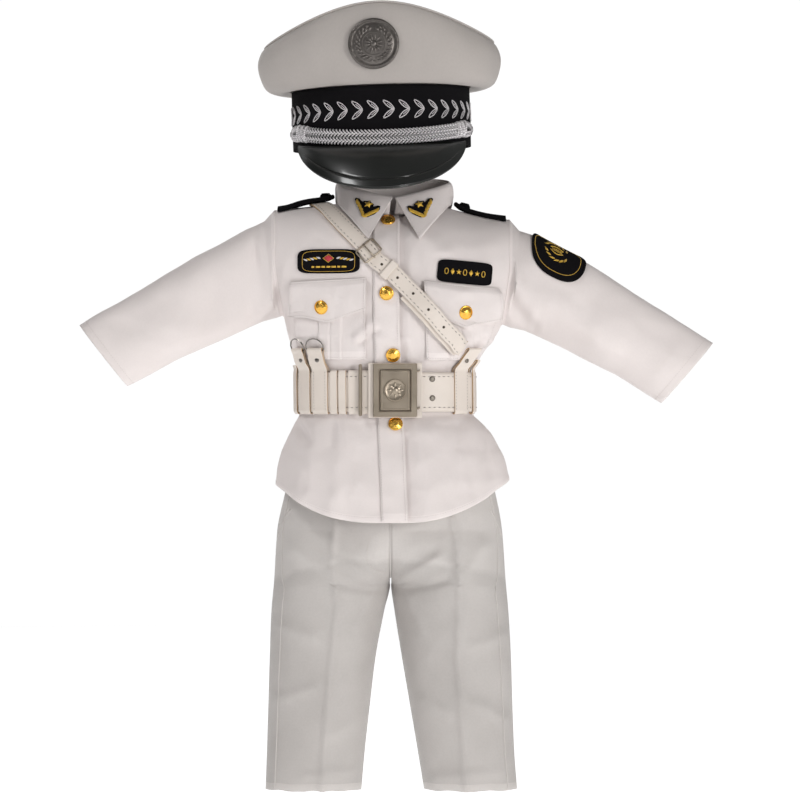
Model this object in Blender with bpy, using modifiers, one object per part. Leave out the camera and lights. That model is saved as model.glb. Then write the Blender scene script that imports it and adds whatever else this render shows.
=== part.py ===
# A child's white marching band uniform: peaked cap, belted jacket and trousers,
# filled out as worn, with nobody in it. Run with blender --background --python part.py.
# Sizes are in millimetres and are scaled to metres when a mesh is made.
# +X is the wearer's left, -Y is the front, +Z is up, and the origin lies between the shoulders.

import math

import bpy
from mathutils import Matrix, Vector

MM = 0.001

# Cloth and how pieces lie on each other
WALL = 1.2  # thickness of the cloth
SEAM = 0.25  # half of the gap that is left where two pieces are sewn together
NAP = 0.6  # how far a piece that is sewn on lies off the face beneath it
LEATHER = 1.2  # thickness of the hangers and keepers

# Jacket body
ROUND = 2.3  # exponent of the rounded sections; 2 would be an ellipse
ARM_MIDDLE = -57.0  # height of the middle of the armhole, where the shoulder starts to roll over
ARM_PIT = -113.0
ARM_DEPTH = 46.0  # half of the armhole from front to back
HEM_MIDDLE = -331.0
HEM_RISE = 38.0  # how much higher the hem is at the side seams
SKIRT_TOP = -230.0
NECK_HALF = 56.0
NECK_FRONT = 50.0
NECK_BACK = 38.0
RIDGE_NECK = 6.0  # height of the shoulder seam at the neck
RIDGE_TIP = -1.0  # and at the sleeve
SHOULDER_DROP = 10.0  # the wearer's left shoulder hangs lower
PLACKET_EDGES = (-122.0, 10.0, HEM_MIDDLE, 19.0)  # height and x of its free edge, above and below
PLACKET_WIDE = 27.5
UNDERLAP = 27.0
UNDERLAP_DEPTH = 2.0

# Height, half of the width, sideways shift, front depth and back depth
TORSO = (
    (-345, 124.0, 2.5, 93, 87),
    (-300, 123.5, 2.5, 90, 84),
    (-274, 121.0, 2.5, 85, 79),
    (-250, 112.5, 1.0, 77, 71),
    (-236, 105.0, -0.5, 72, 66),
    (-225, 97.5, -2.5, 67, 61),
    (-217, 91.5, -4.5, 64.5, 58.5),
    (-171, 91.5, -5.0, 64.5, 58.5),
    (-163, 96.0, -4.0, 68, 61),
    (-148, 103.0, -1.0, 73, 65),
    (-135, 109.0, 1.0, 77, 68),
    (-113, 115.5, 2.5, 80, 71),
    (-57, 124.0, 2.0, 79, 72),
)

# Soft folds of the jacket: the two ends of the crest, its half width and its height.
# The first set is on the front and the second on the back.
FRONT_FOLDS = (
    (-50, -228, -64, -320, 12, 4.4),
    (-88, -230, -103, -296, 11, 3.6),
    (62, -228, 78, -318, 12, 4.6),
    (30, -230, 36, -330, 10, 2.4),
    (-96, -112, -80, -134, 11, 3.0),
    (102, -118, 86, -136, 11, 3.0),
    (-24, -118, -31, -150, 10, 2.0),
)
BACK_FOLDS = (
    (-62, -228, -80, -316, 12, 4.4),
    (0, -230, 4, -330, 12, 3.6),
    (62, -228, 78, -318, 12, 4.4),
    (-94, -112, -66, -148, 11, 3.2),
    (94, -116, 64, -150, 11, 3.2),
    (0, -118, 0, -150, 12, 2.4),
)

# Sleeve sections from the armhole down: crest x and z, underarm x and z, half depth
SLEEVES = {
    "sleeve_right": (
        (-134, -13, -121, -115.5, 45),
        (-152, -21, -134, -119, 43.5),
        (-175, -34, -153, -127, 41),
        (-206, -50, -178, -139, 38),
        (-240, -70, -204, -150, 35),
        (-275, -91, -232, -163, 31.5),
        (-305, -108, -256, -176, 28.5),
        (-330, -123, -279, -188, 26.5),
    ),
    "sleeve_left": (
        (137, -23, 127, -125.5, 45),
        (154, -28, 143, -129, 43.5),
        (181, -42, 163, -138, 41),
        (211, -58, 188, -150, 38),
        (246, -80, 214, -163, 35),
        (281, -103, 240, -176, 31.5),
        (314, -124, 264, -191, 28.5),
        (343, -142, 288, -206, 26.5),
    ),
}

# Collar: angle round the neck from the front, height of the fold, and the outer edge of the
# turned-down leaf: x, height, and how far it lifts off the jacket
COLLAR_SHIFT = 4.0
COLLAR_LINES = 25
COLLAR = (
    (1.5, 10.0, 26.5, -35.5, 5.6),
    (14, 12.5, 32.5, -29.5, 5.6),
    (30, 16.5, 41.0, -20.0, 5.4),
    (50, 21.0, 52.0, -8.0, 4.8),
    (72, 25.5, 59.0, 0.5, 3.6),
    (92, 28.5, 61.5, 4.0, 3.0),
    (115, 31.0, 58.0, -4.0, 2.6),
    (140, 33.0, 44.0, -12.0, 2.4),
    (162, 34.0, 25.0, -16.0, 2.4),
    (180, 34.3, 0.0, -17.0, 2.4),
)
STAND_RADIUS = 56.0
FOLD_SPREAD = 1.03  # the fold is this much wider than the neck seam

# Belt
BELT_TOP = -173.5
BELT_BOTTOM = -215.0
BELT_LIFT = 2.4  # the belt's inner face stands this far off the jacket
BELT_THICK = 2.4
BELT_ENDS = (-4.0, 10.0)  # degrees from the front middle where the belt stops under the buckle
STUD_HEIGHT = -162.0
RING_PIVOT = -150.5
RING_LIFT = 6.1
RING_WIRE = 0.75
RING_HEIGHT = 13.0

# Hangers: where their middle lies as seen from the front
HANGERS = {"hanger_1": -91.0, "hanger_2": -74.5, "strap_hanger": 75.5}
HANGER_HALF = 9.4
RING_HALF = 11.3
# Plain loops round the belt: middle, half width and top
KEEPERS = {
    "side_hanger": (-101.0, 8.5, -166.0),
    "belt_keeper_1": (-59.5, 3.9, -172.0),
    "belt_keeper_2": (-50.5, 3.9, -172.0),
    "belt_end": (-33.0, 11.2, -172.0),
}

# Cross strap: x, run, lift. Run is the height on the front up to the armhole's middle, then
# rolls through 0 at the shoulder seam to the back, where it counts up again as it goes down.
STRAP_HALF = 9.0
STRAP_THICK = 1.8
STRAP_FRONT = (
    (72.5, -143.5, 8.6),
    (58, -127, 7.6),
    (40, -108, 7.4),
    (20, -87.5, 4.4),
    (0, -67.5, 3.6),
    (-24, -50, 1.6),
    (-52, -32, 1.2),
    (-68, -15, 1.2),
    (-76.5, -1.5, 1.2),
)
STRAP_BACK = (
    (-77, 1.5, 1.2),
    (-70, 17, 1.2),
    (-52, 38, 1.2),
    (-30, 58, 1.2),
    (-5, 88, 1.2),
    (20, 118, 1.2),
    (45, 148, 1.8),
    (56, 161, 3.2),
)
STRAP_UNDER = (
    (70.0, -146.5, 6.2),
    (55, -130, 5.4),
    (37, -111, 5.5),
    (17, -90.5, 2.4),
)
STRAP_BUCKLE = -22.0  # the buckle and the keeper, by their x
STRAP_KEEPER = -1.0
STRAP_STEPS = 24

# Trousers: height, outer and inner edge of the wearer's right leg, inner and outer edge of
# the left leg, and half depth
CROTCH = -398.0
TROUSERS = (
    (-616, -132.5, -30.5, 36.0, 135.0, 33),
    (-576, -131.0, -27.0, 29.5, 132.0, 35),
    (-526, -129.5, -21.5, 21.0, 130.0, 39),
    (-476, -128.0, -15.5, 12.5, 128.5, 44),
    (-425, -126.0, -6.0, 4.5, 125.5, 52),
    (-398, -123.5, 0.0, 1.0, 123.0, 57),
    (-342, -120.0, 0.5, 0.5, 119.0, 63),
    (-303, -112.0, 0.5, 0.5, 112.0, 63),
    (-250, -98.0, -1.5, -1.5, 95.0, 60),
    (-214, -90.0, -4.0, -4.0, 82.0, 56),
)
TROUSER_TOP = -214.5
WAIST_TOP = -184.0
LEG_ROUND = 1.9

# Cap: everything is measured from the middle of the head band, then tilted
CAP_PLACE = (-9.5, 0.0, 0.0)
CAP_TILT = 1.7  # degrees, the wearer's left side up
BAND_HALF = 94.5
BAND_DEPTH = 98.0
BAND_BOTTOM = 64.0
BAND_TOP = 126.0
FELT = 1.6
# Ring of the crown: front radius and height, side radius and height, back radius and height
CROWN = (
    (95.6, 127.0, 95.6, 127.0, 95.6, 127.0),
    (101.0, 129.5, 108.0, 124.5, 112.0, 124.0),
    (107.0, 145.0, 121.0, 129.5, 124.0, 131.0),
    (110.0, 165.0, 128.0, 143.0, 129.0, 141.0),
    (110.5, 186.0, 129.5, 156.0, 129.5, 149.0),
    (107.0, 203.0, 125.5, 168.0, 126.0, 156.0),
    (102.0, 211.5, 121.0, 173.0, 122.0, 159.5),
)
CROWN_TOP = (
    (100.5, 212.6, 119.5, 174.0, 120.5, 160.4),
    (76.0, 211.0, 91.0, 181.0, 92.0, 170.0),
    (40.0, 203.0, 47.0, 187.5, 48.0, 180.5),
)
CROWN_MIDDLE = 192.0
VISOR_ANGLE = 65.0
VISOR_DROP = 47.0
VISOR_REACH = 44.0
VISOR_THICK = 2.0
CORD_RADIUS = 3.5
CORD_HIGH = 75.2
CORD_LOW = 67.5
CORD_RISE = 9.0
CORD_ANGLE = 60.0
BADGE_RADIUS = 27.0
BADGE_HEIGHT = 168.0

COLOURS = {
    "cloth": ((0.80, 0.77, 0.75), 0.8, 0),
    "trouser_cloth": ((0.66, 0.64, 0.62), 0.6, 0),
    "leather": ((0.70, 0.66, 0.60), 0.5, 0),
    "black": ((0.015, 0.015, 0.018), 0.7, 0),
    "gloss": ((0.01, 0.01, 0.01), 0.15, 0),
    "gold": ((0.85, 0.6, 0.15), 0.3, 1),
    "silver": ((0.6, 0.6, 0.62), 0.35, 1),
    "cap_cloth": ((0.78, 0.76, 0.74), 0.8, 0),
}


# Scene and meshes


def start_scene():
    for thing in list(bpy.data.objects):
        bpy.data.objects.remove(thing, do_unlink=True)
    parts = bpy.data.collections.new("marching_band_uniform")
    bpy.context.scene.collection.children.link(parts)
    return parts


PARTS = start_scene()


def paint(thing, finish):
    colour, roughness, metallic = COLOURS[finish]
    material = bpy.data.materials.new(thing.name)
    material.use_nodes = True
    shader = material.node_tree.nodes["Principled BSDF"]
    shader.inputs["Base Color"].default_value = (*colour, 1)
    shader.inputs["Roughness"].default_value = roughness
    shader.inputs["Metallic"].default_value = metallic
    thing.data.materials.append(material)


def add_object(name, data, finish):
    thing = bpy.data.objects.new(name, data)
    PARTS.objects.link(thing)
    paint(thing, finish)
    return thing


def grid_faces(rows, columns, round_rows=False, round_columns=False):
    """Quads between neighbouring points of a grid, closed on itself where asked."""
    faces = []
    for r in range(rows if round_rows else rows - 1):
        for c in range(columns if round_columns else columns - 1):
            below, above = r, (r + 1) % rows
            here, there = c, (c + 1) % columns
            faces.append(
                (
                    below * columns + here,
                    below * columns + there,
                    above * columns + there,
                    above * columns + here,
                )
            )
    return faces


def shell(name, grid, finish, thick=WALL, outward=-1, inside=None, rings=False, belt=False):
    """A wall on a grid of points in millimetres: rows of points, each row one section.

    rings closes each row on itself, and belt closes the last row on the first. The wall grows
    inwards from the points, or outwards with outward=1, or both ways with 0. The face looks
    away from the point inside, or from the mean of the points.
    """
    rows, columns = len(grid), len(grid[0])
    points = [Vector(p) for row in grid for p in row]
    faces = grid_faces(rows, columns, belt, rings)
    middle = Vector(inside) if inside else sum(points, Vector()) / len(points)
    turned = 0.0
    for face in faces:
        a, b, c, d = (points[i] for i in face)
        turned += (c - a).cross(d - b).dot((a + b + c + d) / 4 - middle)
    if turned < 0:
        faces = [tuple(reversed(face)) for face in faces]
    mesh = bpy.data.meshes.new(name)
    mesh.from_pydata([p * MM for p in points], [], faces)
    thing = add_object(name, mesh, finish)
    mesh.shade_smooth()
    wall = thing.modifiers.new("wall", "SOLIDIFY")
    wall.thickness = thick * MM
    wall.offset = outward
    return thing


def turned(name, place, normal, profile, finish, steps=12):
    """A turned piece: profile is (radius, height) from the top of the axis to its foot."""
    mesh = bpy.data.meshes.new(name)
    points = [(r * MM, 0, h * MM) for r, h in profile]
    mesh.from_pydata(points, [(i, i + 1) for i in range(len(points) - 1)], [])
    thing = add_object(name, mesh, finish)
    spin = thing.modifiers.new("turn", "SCREW")
    spin.steps = spin.render_steps = steps
    spin.use_merge_vertices = True
    spin.merge_threshold = 0.00001
    spin.use_smooth_shade = True
    thing.location = Vector(place) * MM
    thing.rotation_euler = Vector(normal).to_track_quat("Z", "Y").to_euler()
    return thing


def tube(name, points, radius, finish, cyclic=False, resolution=2):
    curve = bpy.data.curves.new(name, "CURVE")
    curve.dimensions = "3D"
    curve.bevel_depth = radius * MM
    curve.bevel_resolution = resolution
    curve.use_fill_caps = True
    line = curve.splines.new("POLY")
    line.points.add(len(points) - 1)
    for knot, point in zip(line.points, points):
        knot.co = (*(Vector(point) * MM), 1)
    line.use_cyclic_u = cyclic
    return add_object(name, curve, finish)


def plate(name, corner, size, finish, bevel=0.8):
    """A box with bevelled edges: its lowest corner and its size, in millimetres."""
    bpy.ops.mesh.primitive_cube_add(size=1)
    thing = bpy.context.object
    thing.name = name
    thing.data.name = name
    for link in list(thing.users_collection):
        link.objects.unlink(thing)
    PARTS.objects.link(thing)
    middle = [(c + s / 2) * MM for c, s in zip(corner, size)]
    thing.data.transform(Matrix.Diagonal((*(s * MM for s in size), 1)))
    thing.location = middle
    edge = thing.modifiers.new("edge", "BEVEL")
    edge.width = bevel * MM
    edge.segments = 1
    paint(thing, finish)
    return thing


# Tables


def read(table, at):
    """The other columns of a table at a height, on a smooth curve through its rows."""
    low, high = table[0][0], table[-1][0]
    at = min(max(at, low), high)
    i = 0
    while i < len(table) - 2 and table[i + 1][0] < at:
        i += 1
    a, b = table[i], table[i + 1]
    before, after = table[max(i - 1, 0)], table[min(i + 2, len(table) - 1)]
    span = b[0] - a[0]
    t = (at - a[0]) / span
    out = []
    for k in range(1, len(a)):
        step = b[k] - a[k]
        start = limited((a[k] - before[k]) / max(a[0] - before[0], 1e-9) * span, step, a is before)
        end = limited((after[k] - b[k]) / max(after[0] - b[0], 1e-9) * span, step, b is after)
        bend = 3 * t * t - 2 * t**3
        out.append(
            a[k] + step * bend + start * (t - 2 * t * t + t**3) + end * (t**3 - t * t)
        )
    return out


def limited(slope, step, at_end):
    """A slope between those on both sides of a row, and flat where the rows turn."""
    if at_end:
        return step
    if slope * step <= 0:
        return 0.0
    return 2 * slope * step / (slope + step)


def soft(t):
    t = min(max(t, 0.0), 1.0)
    return t * t * (3 - 2 * t)


def curve_through(rows, count):
    """Points spread along a smooth line through rows of numbers."""
    out = []
    last = len(rows) - 1
    for k in range(count):
        at = k / (count - 1) * last
        i = min(int(at), last - 1)
        t = at - i
        p0, p1 = rows[max(i - 1, 0)], rows[i]
        p2, p3 = rows[i + 1], rows[min(i + 2, last)]
        out.append(
            tuple(
                0.5
                * (
                    2 * b
                    + (c - a) * t
                    + (2 * a - 5 * b + 4 * c - d) * t * t
                    + (3 * b - a - 3 * c + d) * t**3
                )
                for a, b, c, d in zip(p0, p1, p2, p3)
            )
        )
    return out


# The jacket's outer face


def armhole_edge(z):
    """How far in front of and behind the side seam the body's edge lies at a height."""
    share = (z - ARM_MIDDLE) / (ARM_MIDDLE - ARM_PIT)
    if share <= -1:
        return SEAM
    return max(SEAM, ARM_DEPTH * math.sqrt(1 - share * share))


def section(z, back):
    """Reach, sideways shift, depth and edge depth of the body's section at a height."""
    height = min(z, ARM_MIDDLE)
    half, shift, front, rear = read(TORSO, height)
    depth = rear if back else front
    edge = armhole_edge(height)
    reach = half / (1 - (edge / depth) ** ROUND) ** (1 / ROUND)
    return reach, shift, depth, edge


def power(value):
    return math.copysign(abs(value) ** (2 / ROUND), value)


def ridge(x):
    """Height of the shoulder seam at a distance from the middle."""
    slope = (RIDGE_TIP - RIDGE_NECK) / (124.0 - NECK_HALF)
    return RIDGE_NECK + slope * max(abs(x) - NECK_HALF, 0)


def droop(x, z):
    return SHOULDER_DROP * soft((x - 20) / 90) * soft((z + 150) / 45)


def hem(x):
    lift = 5 * soft((x - 20) / 80)
    return HEM_MIDDLE + HEM_RISE * min(abs(x) / 121, 1.1) ** 3 + lift


def fold_height(x, z, back):
    total = 0.0
    for x0, z0, x1, z1, width, height in BACK_FOLDS if back else FRONT_FOLDS:
        along = min(max((z - z0) / (z1 - z0), -0.4), 1.4)
        away = (x - (x0 + (x1 - x0) * along)) / width
        if along < 0:
            fade = soft(1 + along / 0.15)
        elif along > 1:
            fade = 1.0 if z1 < SKIRT_TOP else soft((1.4 - along) / 0.4)
        else:
            fade = 1.0
        total += height * fade * soft(along + 0.45) * math.exp(-away * away)
    return total


def neck_angle(x, y, back):
    """Where the roll over the shoulder stops: at the neck seam or at the shoulder seam."""
    rim = SEAM
    if abs(x) < NECK_HALF:
        rim = max(SEAM, (NECK_BACK if back else NECK_FRONT) * math.sqrt(1 - (x / NECK_HALF) ** 2))
    return math.asin(min(rim / y, 1))


def placed(x, y, z, shift, back):
    """Folds, shift and the lower shoulder, added to a point of the plain body."""
    share = min(max(y / 60, 0), 1)
    y += fold_height(x, z, back) * share
    x += shift
    return Vector((x, y if back else -y, z - droop(x, z)))


def body_point(angle, level, back):
    """A point of the jacket: angle from the front or back middle, -90 to 90 degrees.

    Level is the height up to the middle of the armhole, and 0 is the shoulder or neck seam.
    """
    reach, shift, depth, edge = section(level, back)
    turn = math.radians(angle)
    x = reach * power(math.sin(turn))
    z = level
    if level < SKIRT_TOP:
        share = (level - SKIRT_TOP) / (HEM_MIDDLE - SKIRT_TOP)
        z = SKIRT_TOP + share * (hem(x) - SKIRT_TOP)
        reach, shift, depth, edge = section(z, back)
        x = reach * power(math.sin(turn))
    y = depth * power(math.cos(turn))
    if level > ARM_MIDDLE:
        stop = neck_angle(x, y, back)
        roll = math.pi / 2 + (stop - math.pi / 2) * (1 - level / ARM_MIDDLE)
        z = ridge(x) - (ridge(x) - ARM_MIDDLE) * (1 - math.cos(roll))
        y *= math.sin(roll)
    return placed(x, y, z, shift, back)


def edge_angle(level, back):
    """The angle of the armhole's edge or the side seam at a level."""
    reach, shift, depth, edge = section(level, back)
    return math.degrees(math.acos((edge / depth) ** (ROUND / 2)))


def angle_of(x, level, back=False):
    """The angle at which the section passes a distance from the middle of the figure."""
    reach, shift, depth, edge = section(level, back)
    away = x - shift
    return math.degrees(math.asin(math.copysign((abs(away) / reach) ** (ROUND / 2), away)))


def plain_point(x, z, back):
    """The jacket's face at x and z, without its lift."""
    high = z
    for step in range(3):
        high = z + droop(x, high)
    reach, shift, depth, edge = section(high, back)
    away = x - shift
    y = depth * max(1 - (abs(away) / reach) ** ROUND, 0) ** (1 / ROUND)
    if high > ARM_MIDDLE:
        share = min(max((ridge(away) - high) / (ridge(away) - ARM_MIDDLE), 0), 1)
        y *= math.sin(math.acos(1 - share))
    y += fold_height(away, high, back) * min(max(y / 60, 0), 1)
    return Vector((x, y if back else -y, z))


def face_normal(x, z, back):
    step = 1.0
    across = plain_point(x + step, z, back) - plain_point(x - step, z, back)
    up = plain_point(x, z + step, back) - plain_point(x, z - step, back)
    normal = across.cross(up).normalized()
    return -normal if back else normal


def on_front(x, z, lift=0.0, back=False):
    """A point that lies a given lift off the jacket, at x and z as seen from the front."""
    point = plain_point(x, z, back)
    return point + face_normal(x, z, back) * lift


def over_point(x, run):
    """The jacket's face along a line that runs up the front, over the shoulder and down."""
    back = run > 0
    level = -abs(run)
    reach, shift, depth, edge = section(level, back)
    away = x - shift
    y = depth * max(1 - (abs(away) / reach) ** ROUND, 0) ** (1 / ROUND)
    z = level
    if level > ARM_MIDDLE:
        roll = math.pi / 2 * level / ARM_MIDDLE
        z = ridge(away) - (ridge(away) - ARM_MIDDLE) * (1 - math.cos(roll))
        y *= math.sin(roll)
    return placed(away, y, z, shift, back)


def over(x, run, lift):
    step = 0.5
    across = over_point(x + step, run) - over_point(x - step, run)
    along = over_point(x, run + step) - over_point(x, run - step)
    normal = across.cross(along).normalized()
    return over_point(x, run) + normal * lift, normal


def round_point(angle, z, lift):
    """A point off the jacket at an angle round it: 0 is the front, 180 the back."""
    turn = (angle + 180) % 360 - 180
    back = abs(turn) > 90
    near = math.copysign(180, turn) - turn if back else turn
    reach, shift, depth, edge = section(z, back)
    away = reach * power(math.sin(math.radians(near)))
    y = depth * power(math.cos(math.radians(near)))
    slope_x = math.copysign((abs(away) / reach) ** (ROUND - 1) / reach, away)
    slope_y = (y / depth) ** (ROUND - 1) / depth
    normal = Vector((slope_x, slope_y if back else -slope_y, 0)).normalized()
    point = Vector((away + shift, y if back else -y, z))
    return point + normal * lift, normal


# Jacket body and sleeves


def levels():
    """Rows of the jacket's panels, hem to shoulder, matched to the sleeve's ring."""
    low = [HEM_MIDDLE, -312, -292, -272, -254, -239, -227, -217, -171, -162, -149, -135, -124]
    reach = ARM_MIDDLE - ARM_PIT
    arm = [ARM_MIDDLE + reach * math.cos(math.radians(t)) for t in (180, 162, 144, 126, 108)]
    top = [ARM_MIDDLE * k / 5 for k in range(5, -1, -1)]
    return low + arm + top


def placket_edge(z):
    """Where the front's free edge lies at a height."""
    high, top, low, foot = PLACKET_EDGES
    return top + (foot - top) * min(max((high - z) / (high - low), 0), 1)


def panel(name, back, lines):
    """One cut piece of the body: lines gives the angles of its columns at a level."""
    grid = []
    for level in levels():
        row = [body_point(angle, level, back) for angle in lines(level)]
        if name == "jacket_front_left":
            roll = math.pi / 2 * min(level / ARM_MIDDLE, 1)
            for point in row:
                deep = UNDERLAP_DEPTH * soft((placket_edge(level) + 11 - point.x) / 9)
                point.y += deep * math.sin(roll)
                point.z -= deep * math.cos(roll)
        grid.append(row)
    return shell(name, grid, "cloth", inside=(0, 0, -180))


def spread(start, end, count):
    return [start + (end - start) * k / count for k in range(count + 1)]


def right_lines(level):
    return spread(-edge_angle(level, False), angle_of(placket_edge(level) - 0.8, level), 9)


def left_lines(level):
    edge = placket_edge(level)
    lap = [angle_of(edge + x, level) for x in (-UNDERLAP, -UNDERLAP / 2, 1.5)]
    return lap + spread(angle_of(edge + 11, level), edge_angle(level, False), 7)


def back_lines(level):
    return spread(-edge_angle(level, True), edge_angle(level, True), 15)


def jacket_body():
    panel("jacket_front_right", False, right_lines)
    panel("jacket_front_left", False, left_lines)
    panel("jacket_back", True, back_lines)


def armhole(side, turn):
    """The sleeve's first ring, just outside the body, at a turn from the shoulder."""
    z = ARM_MIDDLE + (ARM_MIDDLE - ARM_PIT) * math.cos(turn)
    half, shift, front, rear = read(TORSO, min(z, ARM_MIDDLE))
    x = side * (half + 0.9) + shift
    return Vector((x, -ARM_DEPTH * math.sin(turn), z - droop(x, z)))


def sleeve(name, side):
    """A sleeve lofted from the armhole through its sections to the open cuff."""
    turns = [math.radians(18 * k) for k in range(20)]
    grid = [[armhole(side, t) for t in turns]]
    for crest_x, crest_z, under_x, under_z, half_depth in SLEEVES[name]:
        crest, under = Vector((crest_x, 0, crest_z)), Vector((under_x, 0, under_z))
        middle, reach = (crest + under) / 2, (crest - under) / 2
        grid.append(
            [middle + reach * math.cos(t) + Vector((0, -half_depth * math.sin(t), 0)) for t in turns]
        )
    start, end = grid[0], grid[-1]
    inside = (sum(start, Vector()) / 20 + sum(end, Vector()) / 20) / 2
    return shell(name, grid, "cloth", inside=inside, rings=True)


def sleeve_point(name, along, turn, lift):
    """A point off a sleeve: along counts its sections from the first, turn is in degrees."""
    rows = SLEEVES[name]
    i = min(int(along), len(rows) - 2)
    t = along - i

    def at(k, t):
        crest_x, crest_z, under_x, under_z, half_depth = rows[k]
        crest, under = Vector((crest_x, 0, crest_z)), Vector((under_x, 0, under_z))
        side = Vector((0, -half_depth * math.sin(t), 0))
        return (crest + under) / 2 + (crest - under) / 2 * math.cos(t) + side

    a = math.radians(turn)
    point = at(i, a).lerp(at(i + 1, a), t)
    down = at(i + 1, a) - at(i, a)
    round_it = at(i, a + 0.05) - at(i, a - 0.05)
    normal = down.cross(round_it).normalized()
    if normal.dot(point - (at(i, 0) + at(i, math.pi)) / 2) < 0:
        normal = -normal
    return point + normal * lift, normal


# Collar


def collar_row(row, side):
    """The fold and the outer edge of the collar for one row of its table."""
    angle, fold_z, edge_x, edge_z, lift = row
    turn = math.radians(angle)
    depth = NECK_FRONT + (NECK_BACK - NECK_FRONT) * soft(angle / 180)
    fold = Vector(
        (
            side * STAND_RADIUS * FOLD_SPREAD * math.sin(turn) + COLLAR_SHIFT,
            -depth * FOLD_SPREAD * math.cos(turn),
            fold_z,
        )
    )
    x = side * edge_x + COLLAR_SHIFT
    z = min(edge_z, ridge(x - 2) - droop(x, 0) - 0.6)
    edge = on_front(x, z, lift, back=angle > 91)
    if edge_z > z:
        edge.z += (edge_z - z) * 0.5
    return fold, edge


def collar_lines(count):
    """Fold and edge points from the wearer's right leaf round the back to the left leaf."""
    rows = [collar_row(row, -1) for row in COLLAR] + [collar_row(row, 1) for row in COLLAR[-2::-1]]
    flat = [(*fold, *edge) for fold, edge in rows]
    smooth = curve_through(flat, count)
    return [(Vector(p[:3]), Vector(p[3:])) for p in smooth]


def leaf_point(fold, edge, share):
    """A point of the turned-down leaf: 0 is the fold and 1 the outer edge."""
    out = Vector((fold.x - COLLAR_SHIFT, fold.y, 0)).normalized()
    if share <= 0:
        return fold + out * 1.2 + Vector((0, 0, 1.2))
    knee = fold + out * 5.4 + Vector((0, 0, -0.5))
    plain = fold * (1 - share) ** 2 + knee * 2 * share * (1 - share) + edge * share**2
    return plain + out * 2 * (1 - share)


def collar():
    lines = collar_lines(COLLAR_LINES)
    grid = [[leaf_point(fold, edge, t) for t in (0, 0.14, 0.4, 0.7, 1)] for fold, edge in lines]
    return shell("collar", grid, "cloth", inside=(COLLAR_SHIFT, 0, 0))


def neck_point(angle, side):
    """The neck seam at an angle from the front."""
    turn = math.radians(angle)
    back = angle > 90
    x = side * NECK_HALF * math.sin(turn) * 0.985
    rim = (NECK_BACK if back else NECK_FRONT) * abs(math.cos(turn))
    reach, shift, depth, edge = section(ARM_MIDDLE, back)
    wide = depth * (1 - (abs(x) / reach) ** ROUND) ** (1 / ROUND)
    roll = math.asin(min(rim / wide, 1))
    z = ridge(x) - (ridge(x) - ARM_MIDDLE) * (1 - math.cos(roll))
    return Vector((x + shift, rim if back else -rim, z - droop(x + shift, z)))


def collar_stand():
    angles = [3, 14, 30, 50, 72, 90, 115, 140, 162, 180]
    grid = [[], [], []]
    for side, turns in ((-1, angles), (1, angles[-2::-1])):
        for angle in turns:
            foot = neck_point(angle, side) + Vector((0, 0, 0.7))
            fold_z = read(COLLAR, angle)[0]
            fold = collar_row((angle, fold_z, 30, -20, 0), side)[0] + Vector((0, 0, -0.6))
            for row, share in zip(grid, (0, 0.5, 1)):
                row.append(foot.lerp(fold, share))
    return shell("collar_stand", grid, "cloth", inside=(COLLAR_SHIFT, 0, 10))


# Pieces sewn on the jacket


def sheet_on(name, columns, rows, place, finish, thick):
    """A piece on the jacket: place gives a point off the face for two shares from 0 to 1."""
    grid = [[place(c / columns, r / rows) for c in range(columns + 1)] for r in range(rows + 1)]
    return shell(name, grid, finish, thick=thick, outward=1, inside=(0, 0, -180))


def placket():
    def place(across, up):
        level = HEM_MIDDLE + (-12 - HEM_MIDDLE) * up
        z = level + 1.5 * (1 - up)
        x = placket_edge(z) + PLACKET_WIDE * (across - 1)
        return on_front(x, max(z, hem(x) + 0.8), NAP)

    return sheet_on("placket", 2, 26, place, "cloth", 1.0)


# Pocket: left and right edge, height at its lower end, upper end, and the flap's tip
POCKETS = {
    "pocket_right": (-98.5, -25.5, -159, -88, "flap_right"),
    "pocket_left": (37.5, 110.5, -159, -93, "flap_left"),
}
# Flap: upper corners, lower corners and tip, as x and z
FLAPS = {
    "flap_right": ((-103, -78.5), (-24.5, -75), (-101.5, -114), (-25, -107.5), (-62.5, -121)),
    "flap_left": ((35, -78), (113, -85.5), (36.5, -111), (112.5, -114.5), (76.5, -126)),
}


def pocket(name):
    left, right, low, high, flap = POCKETS[name]
    middle = (left + right) / 2
    pleat = 10.5

    def place(across, up):
        z = low + (high - low) * up
        reach, shift, depth, edge = section(z, False)
        x = left + (right - left) * across
        x = min(max(x, shift - 0.92 * reach), shift + 0.92 * reach)
        rise = 0.9 * soft((pleat + 2 - abs(x - middle)) / 2.5)
        return on_front(x, z, NAP + 0.4 + rise)

    return sheet_on(name, 12, 6, place, "cloth", 1.1)


def flap(name):
    top_a, top_b, low_a, low_b, tip = FLAPS[name]
    share_tip = (tip[0] - low_a[0]) / (low_b[0] - low_a[0])

    def place(across, up):
        top = Vector(top_a).lerp(Vector(top_b), across)
        if across < share_tip:
            low = Vector(low_a).lerp(Vector(tip), across / share_tip)
        else:
            low = Vector(tip).lerp(Vector(low_b), (across - share_tip) / (1 - share_tip))
        spot = low.lerp(top, up)
        lift = NAP + 2.8 * soft((1 - up) / 0.2)
        return on_front(spot.x, spot.y, lift)

    return sheet_on(name, 8, 5, place, "cloth", 1.1)


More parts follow.
